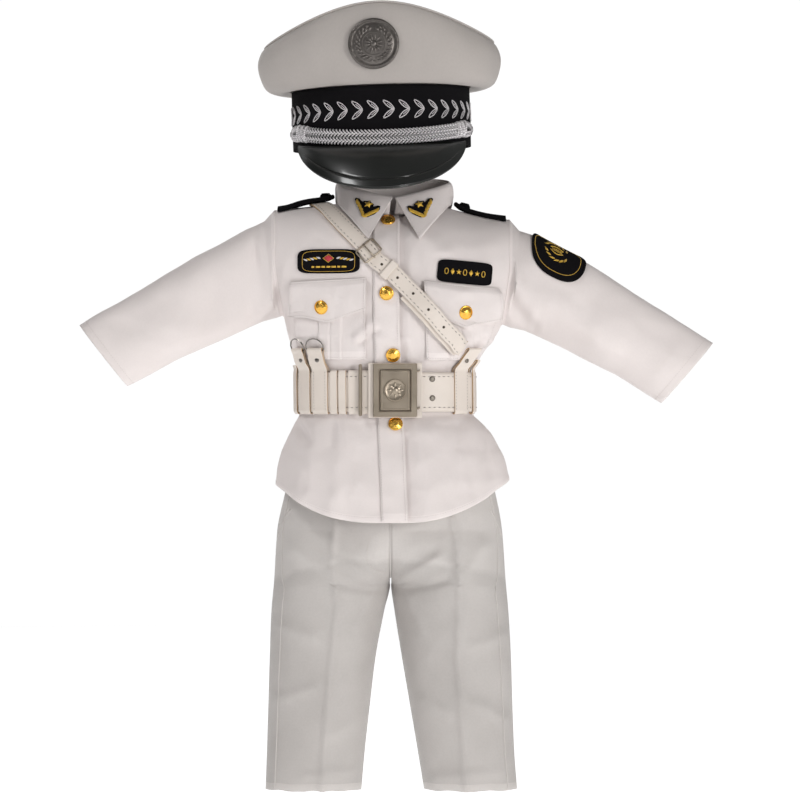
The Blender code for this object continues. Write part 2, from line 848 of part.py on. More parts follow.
def patch(name, middle, half_x, half_z, tilt, squareness, finish="black", rings=3, thick=1.2):
    """A round-ended patch: rings of points out to a rounded outline, on the jacket's face."""
    steps = 20
    lean = math.radians(tilt)
    grid = []
    for k in range(1, rings + 1):
        share = k / rings
        row = []
        for s in range(steps):
            turn = 2 * math.pi * s / steps
            c, d = math.cos(turn), math.sin(turn)
            size = (abs(c) ** squareness + abs(d) ** squareness) ** (-1 / squareness)
            dx, dz = half_x * share * c * size, half_z * share * d * size
            x = middle[0] + dx * math.cos(lean) - dz * math.sin(lean)
            z = middle[1] + dx * math.sin(lean) + dz * math.cos(lean)
            row.append(on_front(x, z, NAP))
        grid.append(row)
    return disc_shell(name, grid, on_front(*middle, NAP), finish, thick, (0, 0, -180))


def disc_shell(name, rings, centre, finish, thick, inside):
    """A wall on rings of points round a centre point."""
    steps = len(rings[0])
    points = [Vector(centre)] + [Vector(p) for ring in rings for p in ring]
    faces = [(0, 1 + s, 1 + (s + 1) % steps) for s in range(steps)]
    for a, b, c, d in grid_faces(len(rings), steps, False, True):
        faces.append((a + 1, d + 1, c + 1, b + 1))
    a, b, c = (points[i] for i in faces[0])
    if (b - a).cross(c - a).dot(a - Vector(inside)) < 0:
        faces = [tuple(reversed(face)) for face in faces]
    mesh = bpy.data.meshes.new(name)
    mesh.from_pydata([p * MM for p in points], [], faces)
    thing = add_object(name, mesh, finish)
    mesh.shade_smooth()
    wall = thing.modifiers.new("wall", "SOLIDIFY")
    wall.thickness = thick * MM
    wall.offset = 1
    return thing


def leaf_at(lines, along, share, lift):
    """A point off the collar's leaf; along counts its lines from the tip."""
    def spot(a, t):
        i = int(a)
        fold = lines[i][0].lerp(lines[i + 1][0], a - i)
        edge = lines[i][1].lerp(lines[i + 1][1], a - i)
        return leaf_point(fold, edge, t)

    across = spot(along + 0.1, share) - spot(along - 0.1, share)
    down = spot(along, share + 0.03) - spot(along, share - 0.03)
    normal = across.cross(down).normalized()
    if normal.y > 0:
        normal = -normal
    return spot(along, share) + normal * lift


def collar_tab(name, side):
    """A badge on the collar's leaf, laid on the leaf's own lines."""
    lines = collar_lines(COLLAR_LINES)
    if side > 0:
        lines = lines[::-1]
    grid = []
    for k in range(5):
        along = 0.6 + k * 0.64
        shares = [0.44 + 0.11 * j + 0.02 * abs(k - 2) for j in range(4)]
        grid.append([leaf_at(lines, along, share, NAP) for share in shares])
    return shell(name, grid, "black", thick=1.2, outward=1, inside=(COLLAR_SHIFT, 0, -10))


def sleeve_patch():
    """A patch over the top of the left sleeve."""
    steps, rings = 20, 4
    along_mid, along_half = 1.85, 1.05
    turn_mid, turn_half = 30.0, 42.0
    grid = []
    for k in range(1, rings + 1):
        row = []
        for s in range(steps):
            a = 2 * math.pi * s / steps
            c, d = math.cos(a), math.sin(a)
            size = (abs(c) ** 2.6 + abs(d) ** 2.6) ** (-1 / 2.6) * k / rings
            row.append(
                sleeve_point(
                    "sleeve_left",
                    along_mid + along_half * c * size,
                    turn_mid + turn_half * d * size,
                    NAP + 0.3,
                )[0]
            )
        grid.append(row)
    centre = sleeve_point("sleeve_left", along_mid, turn_mid, NAP + 0.3)[0]
    under = sleeve_point("sleeve_left", along_mid, turn_mid, -30)[0]
    return disc_shell("sleeve_patch", grid, centre, "black", 1.2, under)


BUTTON = ((0, 4.2), (4.4, 3.4), (6.4, 1.6), (7.6, 1.8), (7.6, 0), (0, 0))


def button(name, place, normal, finish="gold", size=1.0):
    profile = [(r * size, h * size) for r, h in BUTTON]
    return turned(name, place, normal, profile, finish)


def jacket_button(name, x, z, lift):
    """A button that faces as the jacket does there."""
    normal = face_normal(x, z, False)
    return button(name, on_front(x, z, lift), normal)


# Epaulettes: x, and how far their middle line lifts off the shoulder
EPAULETTES = {
    "epaulette_right": ((-119, 1.2), (-108, 2.0), (-96, 4.8), (-84, 6.0), (-72, 6.2), (-60.5, 7.0)),
    "epaulette_left": ((122.5, 1.2), (112, 1.4), (100, 1.8), (88, 2.4), (78, 3.4), (69.5, 5.4)),
}
EPAULETTE_HALF = 19.0


def shoulder_top(x, y, lift):
    """A point above the shoulder at x and y."""
    back = y > 0
    reach, shift, depth, edge = section(ARM_MIDDLE, back)
    away = x - shift
    wide = depth * max(1 - (abs(away) / reach) ** ROUND, 0) ** (1 / ROUND)
    roll = math.asin(min(abs(y) / wide, 1))
    z = ridge(away) - (ridge(away) - ARM_MIDDLE) * (1 - math.cos(roll))
    return Vector((x, y, z - droop(x, z) + lift))


def epaulette(name):
    table = EPAULETTES[name]
    rows = curve_through(table, 12)
    grid = []
    for k, (x, lift) in enumerate(rows):
        narrow = 1 - 0.22 * k / 11 - 0.4 * soft((k - 9.5) / 2)
        grid.append(
            [shoulder_top(x, EPAULETTE_HALF * narrow * share, lift) for share in (-1, -0.5, 0, 0.5, 1)]
        )
    return shell(name, grid, "black", thick=2.0, outward=1, inside=(0, 0, -180))


# Belt, hangers and rings


def belt():
    first, last = BELT_ENDS
    angles = spread(last, 360 + first, 56)
    grid = [[round_point(a, z, BELT_LIFT)[0] for a in angles] for z in (BELT_BOTTOM, BELT_TOP)]
    return shell("belt", grid, "leather", thick=BELT_THICK, outward=1, inside=(-5, 0, -194))


OUTER_LIFT = BELT_LIFT + BELT_THICK + 0.6 + LEATHER / 2
INNER_LIFT = BELT_LIFT - 0.6 - LEATHER / 2


def angle_seen(x):
    """The angle round the belt at which a strip on it is seen at x from the front."""
    low, high = -90.0, 90.0
    for step in range(30):
        angle = (low + high) / 2
        if round_point(angle, BELT_TOP, OUTER_LIFT)[0].x < x:
            low = angle
        else:
            high = angle
    return angle


def loop_grid(angle, half, line):
    """Sections of a strip folded round the belt.

    Line gives the lift and the height along it, and how flat the strip is there.
    """
    step = round_point(angle + 0.5, BELT_TOP, 3)[0] - round_point(angle - 0.5, BELT_TOP, 3)[0]
    turn = half / step.length
    grid = []
    for lift, z, flat in line:
        place, normal = round_point(angle, z, lift)
        bar = Vector((-normal.y, normal.x, 0))
        row = []
        for share in (-1, 0, 1):
            bent = round_point(angle + share * turn, z, lift)[0]
            row.append(bent.lerp(place + bar * share * half, flat))
        grid.append(row)
    return grid


def strip_round_belt(name, middle, half, line):
    angle = angle_seen(middle)
    inside = round_point(angle, -190, BELT_LIFT)[0]
    grid = loop_grid(angle, half, line)
    return shell(name, grid, "leather", thick=LEATHER, outward=0, inside=inside, belt=True)


def hanger(name):
    """A leather strip round the belt, with a round tunnel at its top."""
    mouth = 2.2
    line = [
        (OUTER_LIFT, BELT_BOTTOM + 1, 0),
        ((OUTER_LIFT + INNER_LIFT) / 2 + 1.2, BELT_BOTTOM - 2.0, 0),
        ((OUTER_LIFT + INNER_LIFT) / 2 - 1.2, BELT_BOTTOM - 2.0, 0),
        (INNER_LIFT, BELT_BOTTOM + 1, 0),
        (INNER_LIFT, BELT_TOP + 0.5, 0),
        (RING_LIFT - 1.0, STUD_HEIGHT - 2, 0.6),
        (RING_LIFT - 0.9, RING_PIVOT - 4.4, 1),
    ]
    for degrees in range(212, -60, -35):
        a = math.radians(degrees)
        line.append((RING_LIFT + mouth * math.cos(a), RING_PIVOT + mouth * math.sin(a), 1))
    line += [
        (RING_LIFT + 0.9, RING_PIVOT - 4.4, 1),
        (RING_LIFT + 0.8, STUD_HEIGHT - 2, 0.6),
        (OUTER_LIFT, BELT_TOP + 0.5, 0),
    ]
    return strip_round_belt(name, HANGERS[name], HANGER_HALF, line)


def keeper(name):
    """A plain leather loop round the belt."""
    middle, half, top = KEEPERS[name]
    line = [
        (OUTER_LIFT, BELT_BOTTOM + 1, 0),
        ((OUTER_LIFT + INNER_LIFT) / 2 + 1.2, BELT_BOTTOM - 2.0, 0),
        ((OUTER_LIFT + INNER_LIFT) / 2 - 1.2, BELT_BOTTOM - 2.0, 0),
        (INNER_LIFT, BELT_BOTTOM + 1, 0),
        (INNER_LIFT, BELT_TOP - 1, 0),
        ((OUTER_LIFT + INNER_LIFT) / 2 - 1.2, top, 0),
        ((OUTER_LIFT + INNER_LIFT) / 2 + 1.2, top, 0),
        (OUTER_LIFT, BELT_TOP - 1, 0),
    ]
    return strip_round_belt(name, middle, half, line)


def ring(name, hanger_name):
    """A wire ring with a straight bar that turns in the hanger's tunnel."""
    angle = angle_seen(HANGERS[hanger_name])
    place, normal = round_point(angle, RING_PIVOT, RING_LIFT)
    above, other = round_point(angle, RING_PIVOT + RING_HEIGHT, RING_LIFT + 0.8)
    bar = Vector((-normal.y, normal.x, 0))
    up = above - place
    up = (up - bar * up.dot(bar)).normalized()
    points = [(-RING_HALF + 1.6, 0), (RING_HALF - 1.6, 0)]
    for degrees in range(-14, 200, 26):
        a = math.radians(degrees)
        points.append((RING_HALF * math.cos(a), 3.6 + (RING_HEIGHT - 3.6) * math.sin(a)))
    thing = tube(name, [(x, y, 0) for x, y in points], RING_WIRE, "silver", True, 1)
    thing.location = place * MM
    thing.rotation_euler = Matrix((bar, up, bar.cross(up))).transposed().to_euler()
    return thing


# Buckle: flat plates in front of the belt
BUCKLE_Y = -73.0


def buckle():
    x_mid, z_mid = 5.4, -192.4
    plate("buckle_back", (x_mid - 28.2, BUCKLE_Y, z_mid - 28.7), (56.4, 1.5, 57.4), "silver", 0.6)
    frame_front = BUCKLE_Y - 0.4
    ring_cut("buckle_frame", x_mid, z_mid, frame_front, (46, 56), (33, 44), 4.0)
    plate(
        "buckle_panel",
        (x_mid - 15.9, frame_front - 3.4, z_mid - 21.4),
        (31.8, 3.4, 42.8),
        "silver",
        0.7,
    )
    turned(
        "buckle_boss",
        (x_mid, frame_front - 3.8, z_mid),
        (0, -1, 0),
        ((0, 2.6), (6, 2.1), (9.6, 1.0), (11.0, 1.5), (11.8, 0), (0, 0)),
        "silver",
        steps=16,
    )
    plate("buckle_bracket", (-32.9, BUCKLE_Y - 1.7, -219.5), (3.6, 4.4, 54.5), "silver", 0.9)


def ring_cut(name, x, z, y, outer, inner, deep):
    """A rectangular frame: an outer and an inner rim, extruded towards the front."""
    corners = []
    for width, height in (outer, inner):
        w, h = width / 2, height / 2
        corners.append([(-w, -h), (w, -h), (w, h), (-w, h)])
    rows = []
    for ring_corners, depths in ((corners[0], (0, -deep)), (corners[1], (-deep, 0))):
        for dy in depths:
            rows.append([(x + cx, y + dy, z + cz) for cx, cz in ring_corners])
    points = [Vector(p) * MM for row in rows for p in row]
    faces = grid_faces(4, 4, True, True)
    mesh = bpy.data.meshes.new(name)
    mesh.from_pydata(points, [], faces)
    thing = add_object(name, mesh, "silver")
    edge = thing.modifiers.new("edge", "BEVEL")
    edge.width = 0.7 * MM
    edge.segments = 1
    return thing


# Cross strap


def strap_lines(table, count):
    """Middle points, normals and side directions along a strap."""
    rows = curve_through(table, count)
    spots = [over(x, run, lift) for x, run, lift in rows]
    out = []
    for k, (point, normal) in enumerate(spots):
        ahead = spots[min(k + 1, count - 1)][0] - spots[max(k - 1, 0)][0]
        side = ahead.cross(normal).normalized()
        out.append((point, normal, side))
    return out


def strap(name, table, count, thick=STRAP_THICK):
    grid = []
    for point, normal, side in strap_lines(table, count):
        grid.append([point - side * STRAP_HALF, point, point + side * STRAP_HALF])
    return shell(name, grid, "leather", thick=thick, outward=1, inside=(0, 0, -120))


def strap_pieces():
    strap("strap_front", STRAP_FRONT, STRAP_STEPS)
    strap("strap_back", STRAP_BACK, 20)
    strap("strap_under", STRAP_UNDER, 10, thick=1.4)
    strap_buckle()
    strap_loop("strap_keeper", STRAP_KEEPER, 4.2)


def strap_frame(x):
    """Place, normal, direction along the front strap and across it, where it passes x."""
    lines = strap_lines(STRAP_FRONT, STRAP_STEPS)
    for near, far in zip(lines, lines[1:]):
        if far[0].x <= x <= near[0].x:
            share = (near[0].x - x) / (near[0].x - far[0].x)
            point = near[0].lerp(far[0], share)
            normal = near[1].lerp(far[1], share).normalized()
            along = (far[0] - near[0]).normalized()
            return point, normal, along, along.cross(normal).normalized()


def strap_loop(name, x, half):
    """A leather loop round the cross strap."""
    point, normal, along, side = strap_frame(x)
    reach, high, low = STRAP_HALF + 1.3, STRAP_THICK + 1.7, -1.2
    corners = [(-reach, low), (reach, low), (reach, high), (-reach, high)]
    grid = []
    for k, (across, lift) in enumerate(corners):
        middle = point + side * across + normal * lift
        grid.append([middle - along * half, middle + along * half])
    return shell(name, grid, "leather", thick=1.0, outward=0, inside=point + normal, belt=True)


def strap_buckle():
    point, normal, along, side = strap_frame(STRAP_BUCKLE)
    base = point + normal * (STRAP_THICK + 1.5)
    half_long, half_wide = 8.4, 11.2
    corners = [(-half_long, -half_wide), (half_long, -half_wide), (half_long, half_wide), (-half_long, half_wide)]
    points = []
    for k, (a, b) in enumerate(corners):
        na, nb = corners[(k + 1) % 4]
        for t in (0.08, 0.5, 0.92):
            points.append(base + along * (a + (na - a) * t) + side * (b + (nb - b) * t))
    tube("strap_buckle", points, 1.0, "silver", True, 1)


# Trousers


def leg_section(z, side):
    """Outer edge, inner edge and half depth of one leg at a height."""
    right_out, right_in, left_in, left_out, depth = read(TROUSERS, z)
    return (right_out, right_in, depth) if side < 0 else (left_out, left_in, depth)


def rise_depth(z, depth):
    """How far in front of the crotch the centre seam lies; it curves under at the crotch."""
    if z <= CROTCH:
        return 0.0
    curve = 58.0
    share = min((z - CROTCH) / curve, 1)
    return depth * math.sqrt(1 - (1 - share) ** 2)


def leg_panel(name, side, back, columns=8):
    heights = [-616, -575, -530, -485, -440, -408, -397.5, -391, -380, -362, -335, -300, -255]
    heights.append(TROUSER_TOP)
    grid = []
    for z in heights:
        outer, inner, depth = leg_section(z, side)
        gap = SEAM * 1.8
        seam = max(rise_depth(z, depth), 0)
        turn_in = math.acos(min((seam / depth) ** (LEG_ROUND / 2), 1))
        k = abs(math.sin(turn_in)) ** (2 / LEG_ROUND)
        wide = abs(outer - inner) / (1 + k)
        middle = inner + side * wide * k
        row = []
        for c in range(columns + 1):
            turn = -turn_in + (math.pi / 2 + turn_in) * c / columns
            s, q = math.sin(turn), max(math.cos(turn), 0)
            x = middle + side * wide * math.copysign(abs(s) ** (2 / LEG_ROUND), s)
            y = depth * q ** (2 / LEG_ROUND)
            y = max(y, gap) + (2.4 * soft((z + 614) / 10 + 0.6) if c == columns // 2 else 0)
            if z > CROTCH and side * (x - inner) < gap:
                x = inner + side * gap
            row.append((x, y if back else -y, z))
        grid.append(row)
    outer, inner, depth = leg_section(-450, side)
    return shell(name, grid, "trouser_cloth", inside=((outer + inner) / 2, 0, -420))


def waistband():
    count = 40
    lift = -WALL - UNDERLAP_DEPTH - 0.7
    grid = [
        [round_point(360 * k / count, z, lift)[0] for k in range(count)]
        for z in (TROUSER_TOP + 0.8, WAIST_TOP)
    ]
    return shell("waistband", grid, "trouser_cloth", thick=1.6, inside=(-5, 0, -200), rings=True)


# Cap


def cap_turn(point):
    tilt = Matrix.Rotation(math.radians(-CAP_TILT), 4, "Y")
    middle = Vector((0, 0, 100))
    return tilt @ (Vector(point) - middle) + middle + Vector(CAP_PLACE)


def band_point(angle, z, lift):
    """A point off the head band; angle 0 is the front."""
    a = math.radians(angle)
    normal = Vector((math.sin(a) / BAND_HALF, -math.cos(a) / BAND_DEPTH, 0)).normalized()
    return Vector((BAND_HALF * math.sin(a), -BAND_DEPTH * math.cos(a), z)) + normal * lift


def crown_point(row, angle):
    """A point of a crown ring: its front, side and back sizes blended round the head."""
    a = math.radians(angle)
    c = math.cos(a)
    front, rear, flank = max(c, 0) ** 2, min(c, 0) ** 2, math.sin(a) ** 2
    radius = front * row[0] + flank * row[2] + rear * row[4]
    z = front * row[1] + flank * row[3] + rear * row[5]
    return Vector((radius * math.sin(a), -radius * c, z))


def cap_crown():
    steps = 28
    angles = [360 * k / steps for k in range(steps)]
    side = [[cap_turn(crown_point(row, a)) for a in angles] for row in CROWN]
    shell("cap_crown_side", side, "cap_cloth", thick=FELT, inside=cap_turn((0, 0, 150)), rings=True)
    top = [[cap_turn(crown_point(row, a)) for a in angles] for row in reversed(CROWN_TOP)]
    thing = disc_shell(
        "cap_crown_top", top, cap_turn((0, 0, CROWN_MIDDLE)), "cap_cloth", FELT, cap_turn((0, 0, 100))
    )
    thing.modifiers["wall"].offset = -1


def cap_band():
    steps = 40
    grid = [
        [cap_turn(band_point(360 * k / steps, z, 0)) for k in range(steps)]
        for z in (BAND_BOTTOM, BAND_TOP)
    ]
    return shell("cap_band", grid, "black", thick=FELT, inside=cap_turn((0, 0, 95)), rings=True)


def visor():
    columns, rows = 16, 5
    grid = []
    for r in range(rows + 1):
        out = r / rows
        row = []
        for c in range(columns + 1):
            share = -1 + 2 * c / columns
            angle = VISOR_ANGLE * share
            root = band_point(angle, BAND_BOTTOM - 1.5 + 4 * share * share, 1.0)
            swell = math.cos(math.radians(90 * share)) ** 0.62
            reach = VISOR_REACH * swell * out
            drop = VISOR_DROP * swell * out ** 1.12
            tip = root + Vector((root.x * 0.02 * out, -reach, -drop))
            row.append(cap_turn(tip))
        grid.append(row)
    return shell("cap_visor", grid, "gloss", thick=VISOR_THICK, outward=1, inside=cap_turn((0, 40, 0)))


def cap_cord():
    """Two strands across the front, joined round the side buttons as one loop."""
    lift = CORD_RADIUS + 0.6
    count = 17
    points = []
    for k in range(count):
        share = -1 + 2 * k / (count - 1)
        rise = CORD_RISE * share * share
        points.append(band_point(CORD_ANGLE * share, CORD_LOW + rise, lift))
    turn_radius = (CORD_HIGH - CORD_LOW) / 2
    wide = 8.0
    for side in (1, -1):
        for degrees in (-50, 0, 50):
            a = math.radians(degrees)
            z = CORD_LOW + turn_radius + CORD_RISE + (turn_radius + 3) * math.sin(a)
            points.append(band_point(side * (CORD_ANGLE + 3 + wide * math.cos(a)), z, lift))
        if side > 0:
            for k in range(count):
                share = 1 - 2 * k / (count - 1)
                rise = CORD_RISE * share * share
                points.append(band_point(CORD_ANGLE * share, CORD_HIGH + rise, lift))
    ends = points[-3:]
    points = points[:-3] + ends[::-1]
    return tube("cap_cord", [cap_turn(p) for p in points], CORD_RADIUS, "silver", True, 1)


def cap_fittings():
    for name, side in (("cap_button_right", -1), ("cap_button_left", 1)):
        spot = cap_turn(band_point(side * 79, 81.0, 0.6))
        off = cap_turn(band_point(side * 79, 81.0, 5.6))
        button(name, spot, off - spot, "silver", 0.8)
    angle = -1.5
    foot = None
    for k in range(len(CROWN) - 1):
        low, high = crown_point(CROWN[k], angle), crown_point(CROWN[k + 1], angle)
        if low.z <= BADGE_HEIGHT <= high.z:
            t = (BADGE_HEIGHT - low.z) / (high.z - low.z)
            foot = low.lerp(high, t)
    place = cap_turn(foot + Vector((-2.5, -0.5, 0)))
    normal = Vector((-0.02, -1, -0.03))
    profile = ((0, 4.4), (11, 3.8), (20.5, 1.9), (22.5, 3.2), (BADGE_RADIUS, 2.0), (BADGE_RADIUS, 0), (0, 0))
    turned("cap_badge", place, normal, profile, "silver", steps=24)


# Everything


def build():
    jacket_body()
    sleeve("sleeve_right", -1)
    sleeve("sleeve_left", 1)
    collar()
    collar_stand()
    collar_tab("collar_tab_right", -1)
    collar_tab("collar_tab_left", 1)
    placket()
    for name in POCKETS:
        pocket(name)
        flap(POCKETS[name][4])
    patch("name_patch", (-64, -57.5), 32.5, 12.5, 0, 5)
    patch("rank_patch", (78, -69), 28.5, 11.8, -5, 7)
    sleeve_patch()
    for name in EPAULETTES:
        epaulette(name)
    button("epaulette_button_right", shoulder_top(-68.5, 0, 9.5), (-0.05, 0, 1), "black", 0.7)
    button("epaulette_button_left", shoulder_top(79, 0, 7.0), (0.25, 0, 1), "black", 0.7)
    jacket_button("button_1", -2.0, -15.5, 2.2)
    jacket_button("button_2", -3.6, -91.0, 2.2)
    jacket_button("button_3", 3.2, -154.8, 2.2)
    jacket_button("button_4", 5.8, -228.8, 2.2)
    jacket_button("flap_button_right", -70.0, -104.8, 4.6)
    jacket_button("flap_button_left", 77.4, -110.2, 4.6)
    belt()
    for name in HANGERS:
        hanger(name)
    for name in KEEPERS:
        keeper(name)
    ring("ring_1", "hanger_1")
    ring("ring_2", "hanger_2")
    buckle()
    strap_pieces()
    for side, word in ((-1, "right"), (1, "left")):
        leg_panel("trouser_front_" + word, side, False)
        leg_panel("trouser_back_" + word, side, True)
    waistband()
    cap_crown()
    cap_band()
    visor()
    cap_cord()
    cap_fittings()


build()
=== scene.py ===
# Looks of the child's white marching band uniform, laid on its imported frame.
# Sizes here are in millimetres until a mesh is made; +X is the wearer's left, -Y the front, +Z up.

import math

import bmesh
import bpy
from mathutils import Matrix, Vector, noise


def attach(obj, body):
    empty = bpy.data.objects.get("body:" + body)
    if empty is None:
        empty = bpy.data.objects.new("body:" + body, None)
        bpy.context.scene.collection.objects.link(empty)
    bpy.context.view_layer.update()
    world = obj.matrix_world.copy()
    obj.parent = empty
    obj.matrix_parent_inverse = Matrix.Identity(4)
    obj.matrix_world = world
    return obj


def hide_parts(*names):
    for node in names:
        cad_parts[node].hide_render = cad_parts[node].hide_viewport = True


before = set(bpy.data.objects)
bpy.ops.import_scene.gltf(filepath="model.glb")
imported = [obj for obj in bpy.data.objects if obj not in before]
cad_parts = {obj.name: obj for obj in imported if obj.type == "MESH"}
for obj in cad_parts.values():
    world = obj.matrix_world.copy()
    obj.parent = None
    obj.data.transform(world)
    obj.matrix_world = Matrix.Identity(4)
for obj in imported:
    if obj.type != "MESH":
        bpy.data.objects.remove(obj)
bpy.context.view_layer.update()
scene = bpy.context.scene
mm = 0.001


# Reading the tables

# A slope between those on both sides of a row, and flat where the rows turn.
def limited(slope, step, atEnd):
    if atEnd:
        return step
    if slope * step <= 0:
        return 0.0
    return 2 * slope * step / (slope + step)


def soft(t):
    t = min(max(t, 0.0), 1.0)
    return t * t * (3 - 2 * t)


# What stands between two rows of a table; at counts its rows from 0.
def rowAt(rows, at):
    i = min(int(at), len(rows) - 2)
    return [a + (b - a) * (at - i) for a, b in zip(rows[i], rows[i + 1])]


# Points spread along a smooth line through rows of numbers.
def curveThrough(rows, count):
    out = []
    last = len(rows) - 1
    for k in range(count):
        at = k / (count - 1) * last
        i = min(int(at), last - 1)
        t = at - i
        p0, p1 = rows[max(i - 1, 0)], rows[i]
        p2, p3 = rows[i + 1], rows[min(i + 2, last)]
        out.append(
            tuple(
                0.5
                * (
                    2 * b
                    + (c - a) * t
                    + (2 * a - 5 * b + 4 * c - d) * t * t
                    + (3 * b - a - 3 * c + d) * t**3
                )
                for a, b, c, d in zip(p0, p1, p2, p3)
            )
        )
    return out


# Shader maths and materials

class Value:
    def __init__(self, tree, socket):
        self.tree = tree
        self.socket = socket

    def maths(self, operation, *others):
        node = self.tree.nodes.new("ShaderNodeMath")
        node.operation = operation
        for slot, item in zip(node.inputs, (self, *others)):
            if isinstance(item, Value):
                self.tree.links.new(item.socket, slot)
            else:
                slot.default_value = item
        return Value(self.tree, node.outputs[0])

    def turned(self, operation, other):
        node = self.tree.nodes.new("ShaderNodeMath")
        node.operation = operation
        node.inputs[0].default_value = other
        self.tree.links.new(self.socket, node.inputs[1])
        return Value(self.tree, node.outputs[0])

    def __add__(self, other):
        return self.maths("ADD", other)

    __radd__ = __add__

    def __sub__(self, other):
        return self.maths("SUBTRACT", other)

    def __rsub__(self, other):
        return self.turned("SUBTRACT", other)

    def __mul__(self, other):
        return self.maths("MULTIPLY", other)

    __rmul__ = __mul__

    def __truediv__(self, other):
        return self.maths("DIVIDE", other)

    def between(self, low, high):
        return self.maths("MAXIMUM", low).maths("MINIMUM", high)

    def node(self, kind, output=0, **inputs):
        # Any other node, with this value in the first input that is named None
        made = self.tree.nodes.new(kind)
        for name, item in inputs.items():
            slot = made.inputs[name.replace("_", " ")]
            if item is None:
                self.tree.links.new(self.socket, slot)
            elif isinstance(item, Value):
                self.tree.links.new(item.socket, slot)
            else:
                slot.default_value = item
        return Value(self.tree, made.outputs[output])


def newMaterial(name, colour, rough, metal=0.0, sheen=0.0, coat=0.0):
    made = bpy.data.materials.new(name)
    made.use_nodes = True
    shader = made.node_tree.nodes["Principled BSDF"]
    shader.inputs["Base Color"].default_value = (*colour, 1)
    shader.inputs["Roughness"].default_value = rough
    shader.inputs["Metallic"].default_value = metal
    shader.inputs["Sheen Weight"].default_value = sheen
    shader.inputs["Sheen Roughness"].default_value = 0.5
    shader.inputs["Coat Weight"].default_value = coat
    shader.inputs["Coat Roughness"].default_value = 0.12
    return made, shader


def places(tree, uv=False):
    made = tree.nodes.new("ShaderNodeTexCoord")
    return Value(tree, made.outputs["UV" if uv else "Object"])


def split(value):
    made = value.tree.nodes.new("ShaderNodeSeparateXYZ")
    value.tree.links.new(value.socket, made.inputs[0])
    return [Value(value.tree, out) for out in made.outputs]


def blotch(where, scale, detail=3.0):
    return where.node("ShaderNodeTexNoise", 0, Vector=None, Scale=scale, Detail=detail)


def tinted(shader, tree, share, dark, light):
    made = tree.nodes.new("ShaderNodeMix")
    made.data_type = "RGBA"
    made.inputs["A"].default_value = (*dark, 1)
    made.inputs["B"].default_value = (*light, 1)
    tree.links.new(share.socket, made.inputs["Factor"])
    tree.links.new(made.outputs["Result"], shader.inputs["Base Color"])


def bumped(shader, tree, height, strength, distance):
    made = tree.nodes.new("ShaderNodeBump")
    made.inputs["Strength"].default_value = strength
    made.inputs["Distance"].default_value = distance
    tree.links.new(height.socket, made.inputs["Height"])
    tree.links.new(made.outputs["Normal"], shader.inputs["Normal"])


def wovenMaterial(name, dark, light, rough, sheen, thread, depth, twill=0.0, puckers=0.5, **more):
    # A woven cloth: threads over and under, with soft blotches and fine rumples
    made, shader = newMaterial(name, light, rough, 0.0, sheen)
    tree = made.node_tree
    where = places(tree, True)
    across, along, up = split(where)
    step = 2 * math.pi / thread
    first = (across * step + along * step * twill).maths("SINE")
    second = (along * step).maths("SINE")
    weave = first * second * 0.5 + 0.5
    broad = blotch(where, 14.0)
    fine = blotch(where, 420.0, 4.0)
    share = broad * 0.7 + fine * 0.3
    if "hem" in more:
        # The cloth is doubled at its hem, so it lets less light through and looks whiter there
        share = share + ((more["hem"] - along) * 2200.0).between(0.0, 0.42)
    if "tail" in more:
        # The jacket's tail shows through the thin trousers above this height
        x, y, z = split(places(tree))
        level = z - more["tail"] + x * x * 1.6 + blotch(places(tree), 24.0) * 0.02 - 0.01
        share = share + (level * 60.0).between(0.0, 0.42)
    tinted(shader, tree, share.maths("MINIMUM", 1.0), dark, light)
    rumple = blotch(where, 90.0, 3.0)
    bumped(shader, tree, weave * depth + fine * depth * 0.6 + rumple * puckers, 0.55, 0.0006)
    roughness = broad * 0.12 + (rough - 0.06)
    tree.links.new(roughness.socket, shader.inputs["Roughness"])
    return made


def grainedMaterial(name, dark, light, rough, scale, depth, coat=0.0):
    # Leather or plastic: small cells in the grain, with worn and dirty blotches
    made, shader = newMaterial(name, light, rough, 0.0, 0.0, coat)
    tree = made.node_tree
    where = places(tree)
    broad = blotch(where, 26.0, 5.0)
    tinted(shader, tree, broad, dark, light)
    cell = where.node("ShaderNodeTexVoronoi", 0, Vector=None, Scale=scale)
    bumped(shader, tree, cell * depth + blotch(where, 160.0) * 0.6, 0.35, 0.0004)
    tree.links.new((broad * 0.2 + (rough - 0.1)).socket, shader.inputs["Roughness"])
    return made


def patentMaterial(name, dark, light, rough):
    # A smooth lacquer with the slow waves and dull smears of a pressed visor
    made, shader = newMaterial(name, light, rough, 0.0, 0.0, 0.5)
    tree = made.node_tree
    where = places(tree)
    broad = blotch(where, 18.0, 2.0)
    tinted(shader, tree, broad, dark, light)
    bumped(shader, tree, blotch(where, 16.0, 0.0), 0.1, 0.002)
    tree.links.new((broad * 0.14 + (rough - 0.07)).socket, shader.inputs["Roughness"])
    return made


def metalMaterial(name, dark, light, rough, brushed=(1.0, 1.0, 1.0), depth=0.3):
    # Metal with tarnish in blotches and fine marks, drawn out along one way where it is brushed
    made, shader = newMaterial(name, light, rough, 1.0)
    tree = made.node_tree
    where = places(tree)
    stretch = tree.nodes.new("ShaderNodeMapping")
    stretch.inputs["Scale"].default_value = brushed
    tree.links.new(where.socket, stretch.inputs["Vector"])
    drawn = Value(tree, stretch.outputs[0])
    marks = blotch(drawn, 900.0, 4.0)
    broad = blotch(where, 70.0, 4.0)
    tinted(shader, tree, broad * 0.7 + marks * 0.3, dark, light)
    tree.links.new(
        (marks * 0.22 + broad * 0.12 + (rough - 0.17)).socket, shader.inputs["Roughness"]
    )
    bumped(shader, tree, marks, depth, 0.0002)
    return made


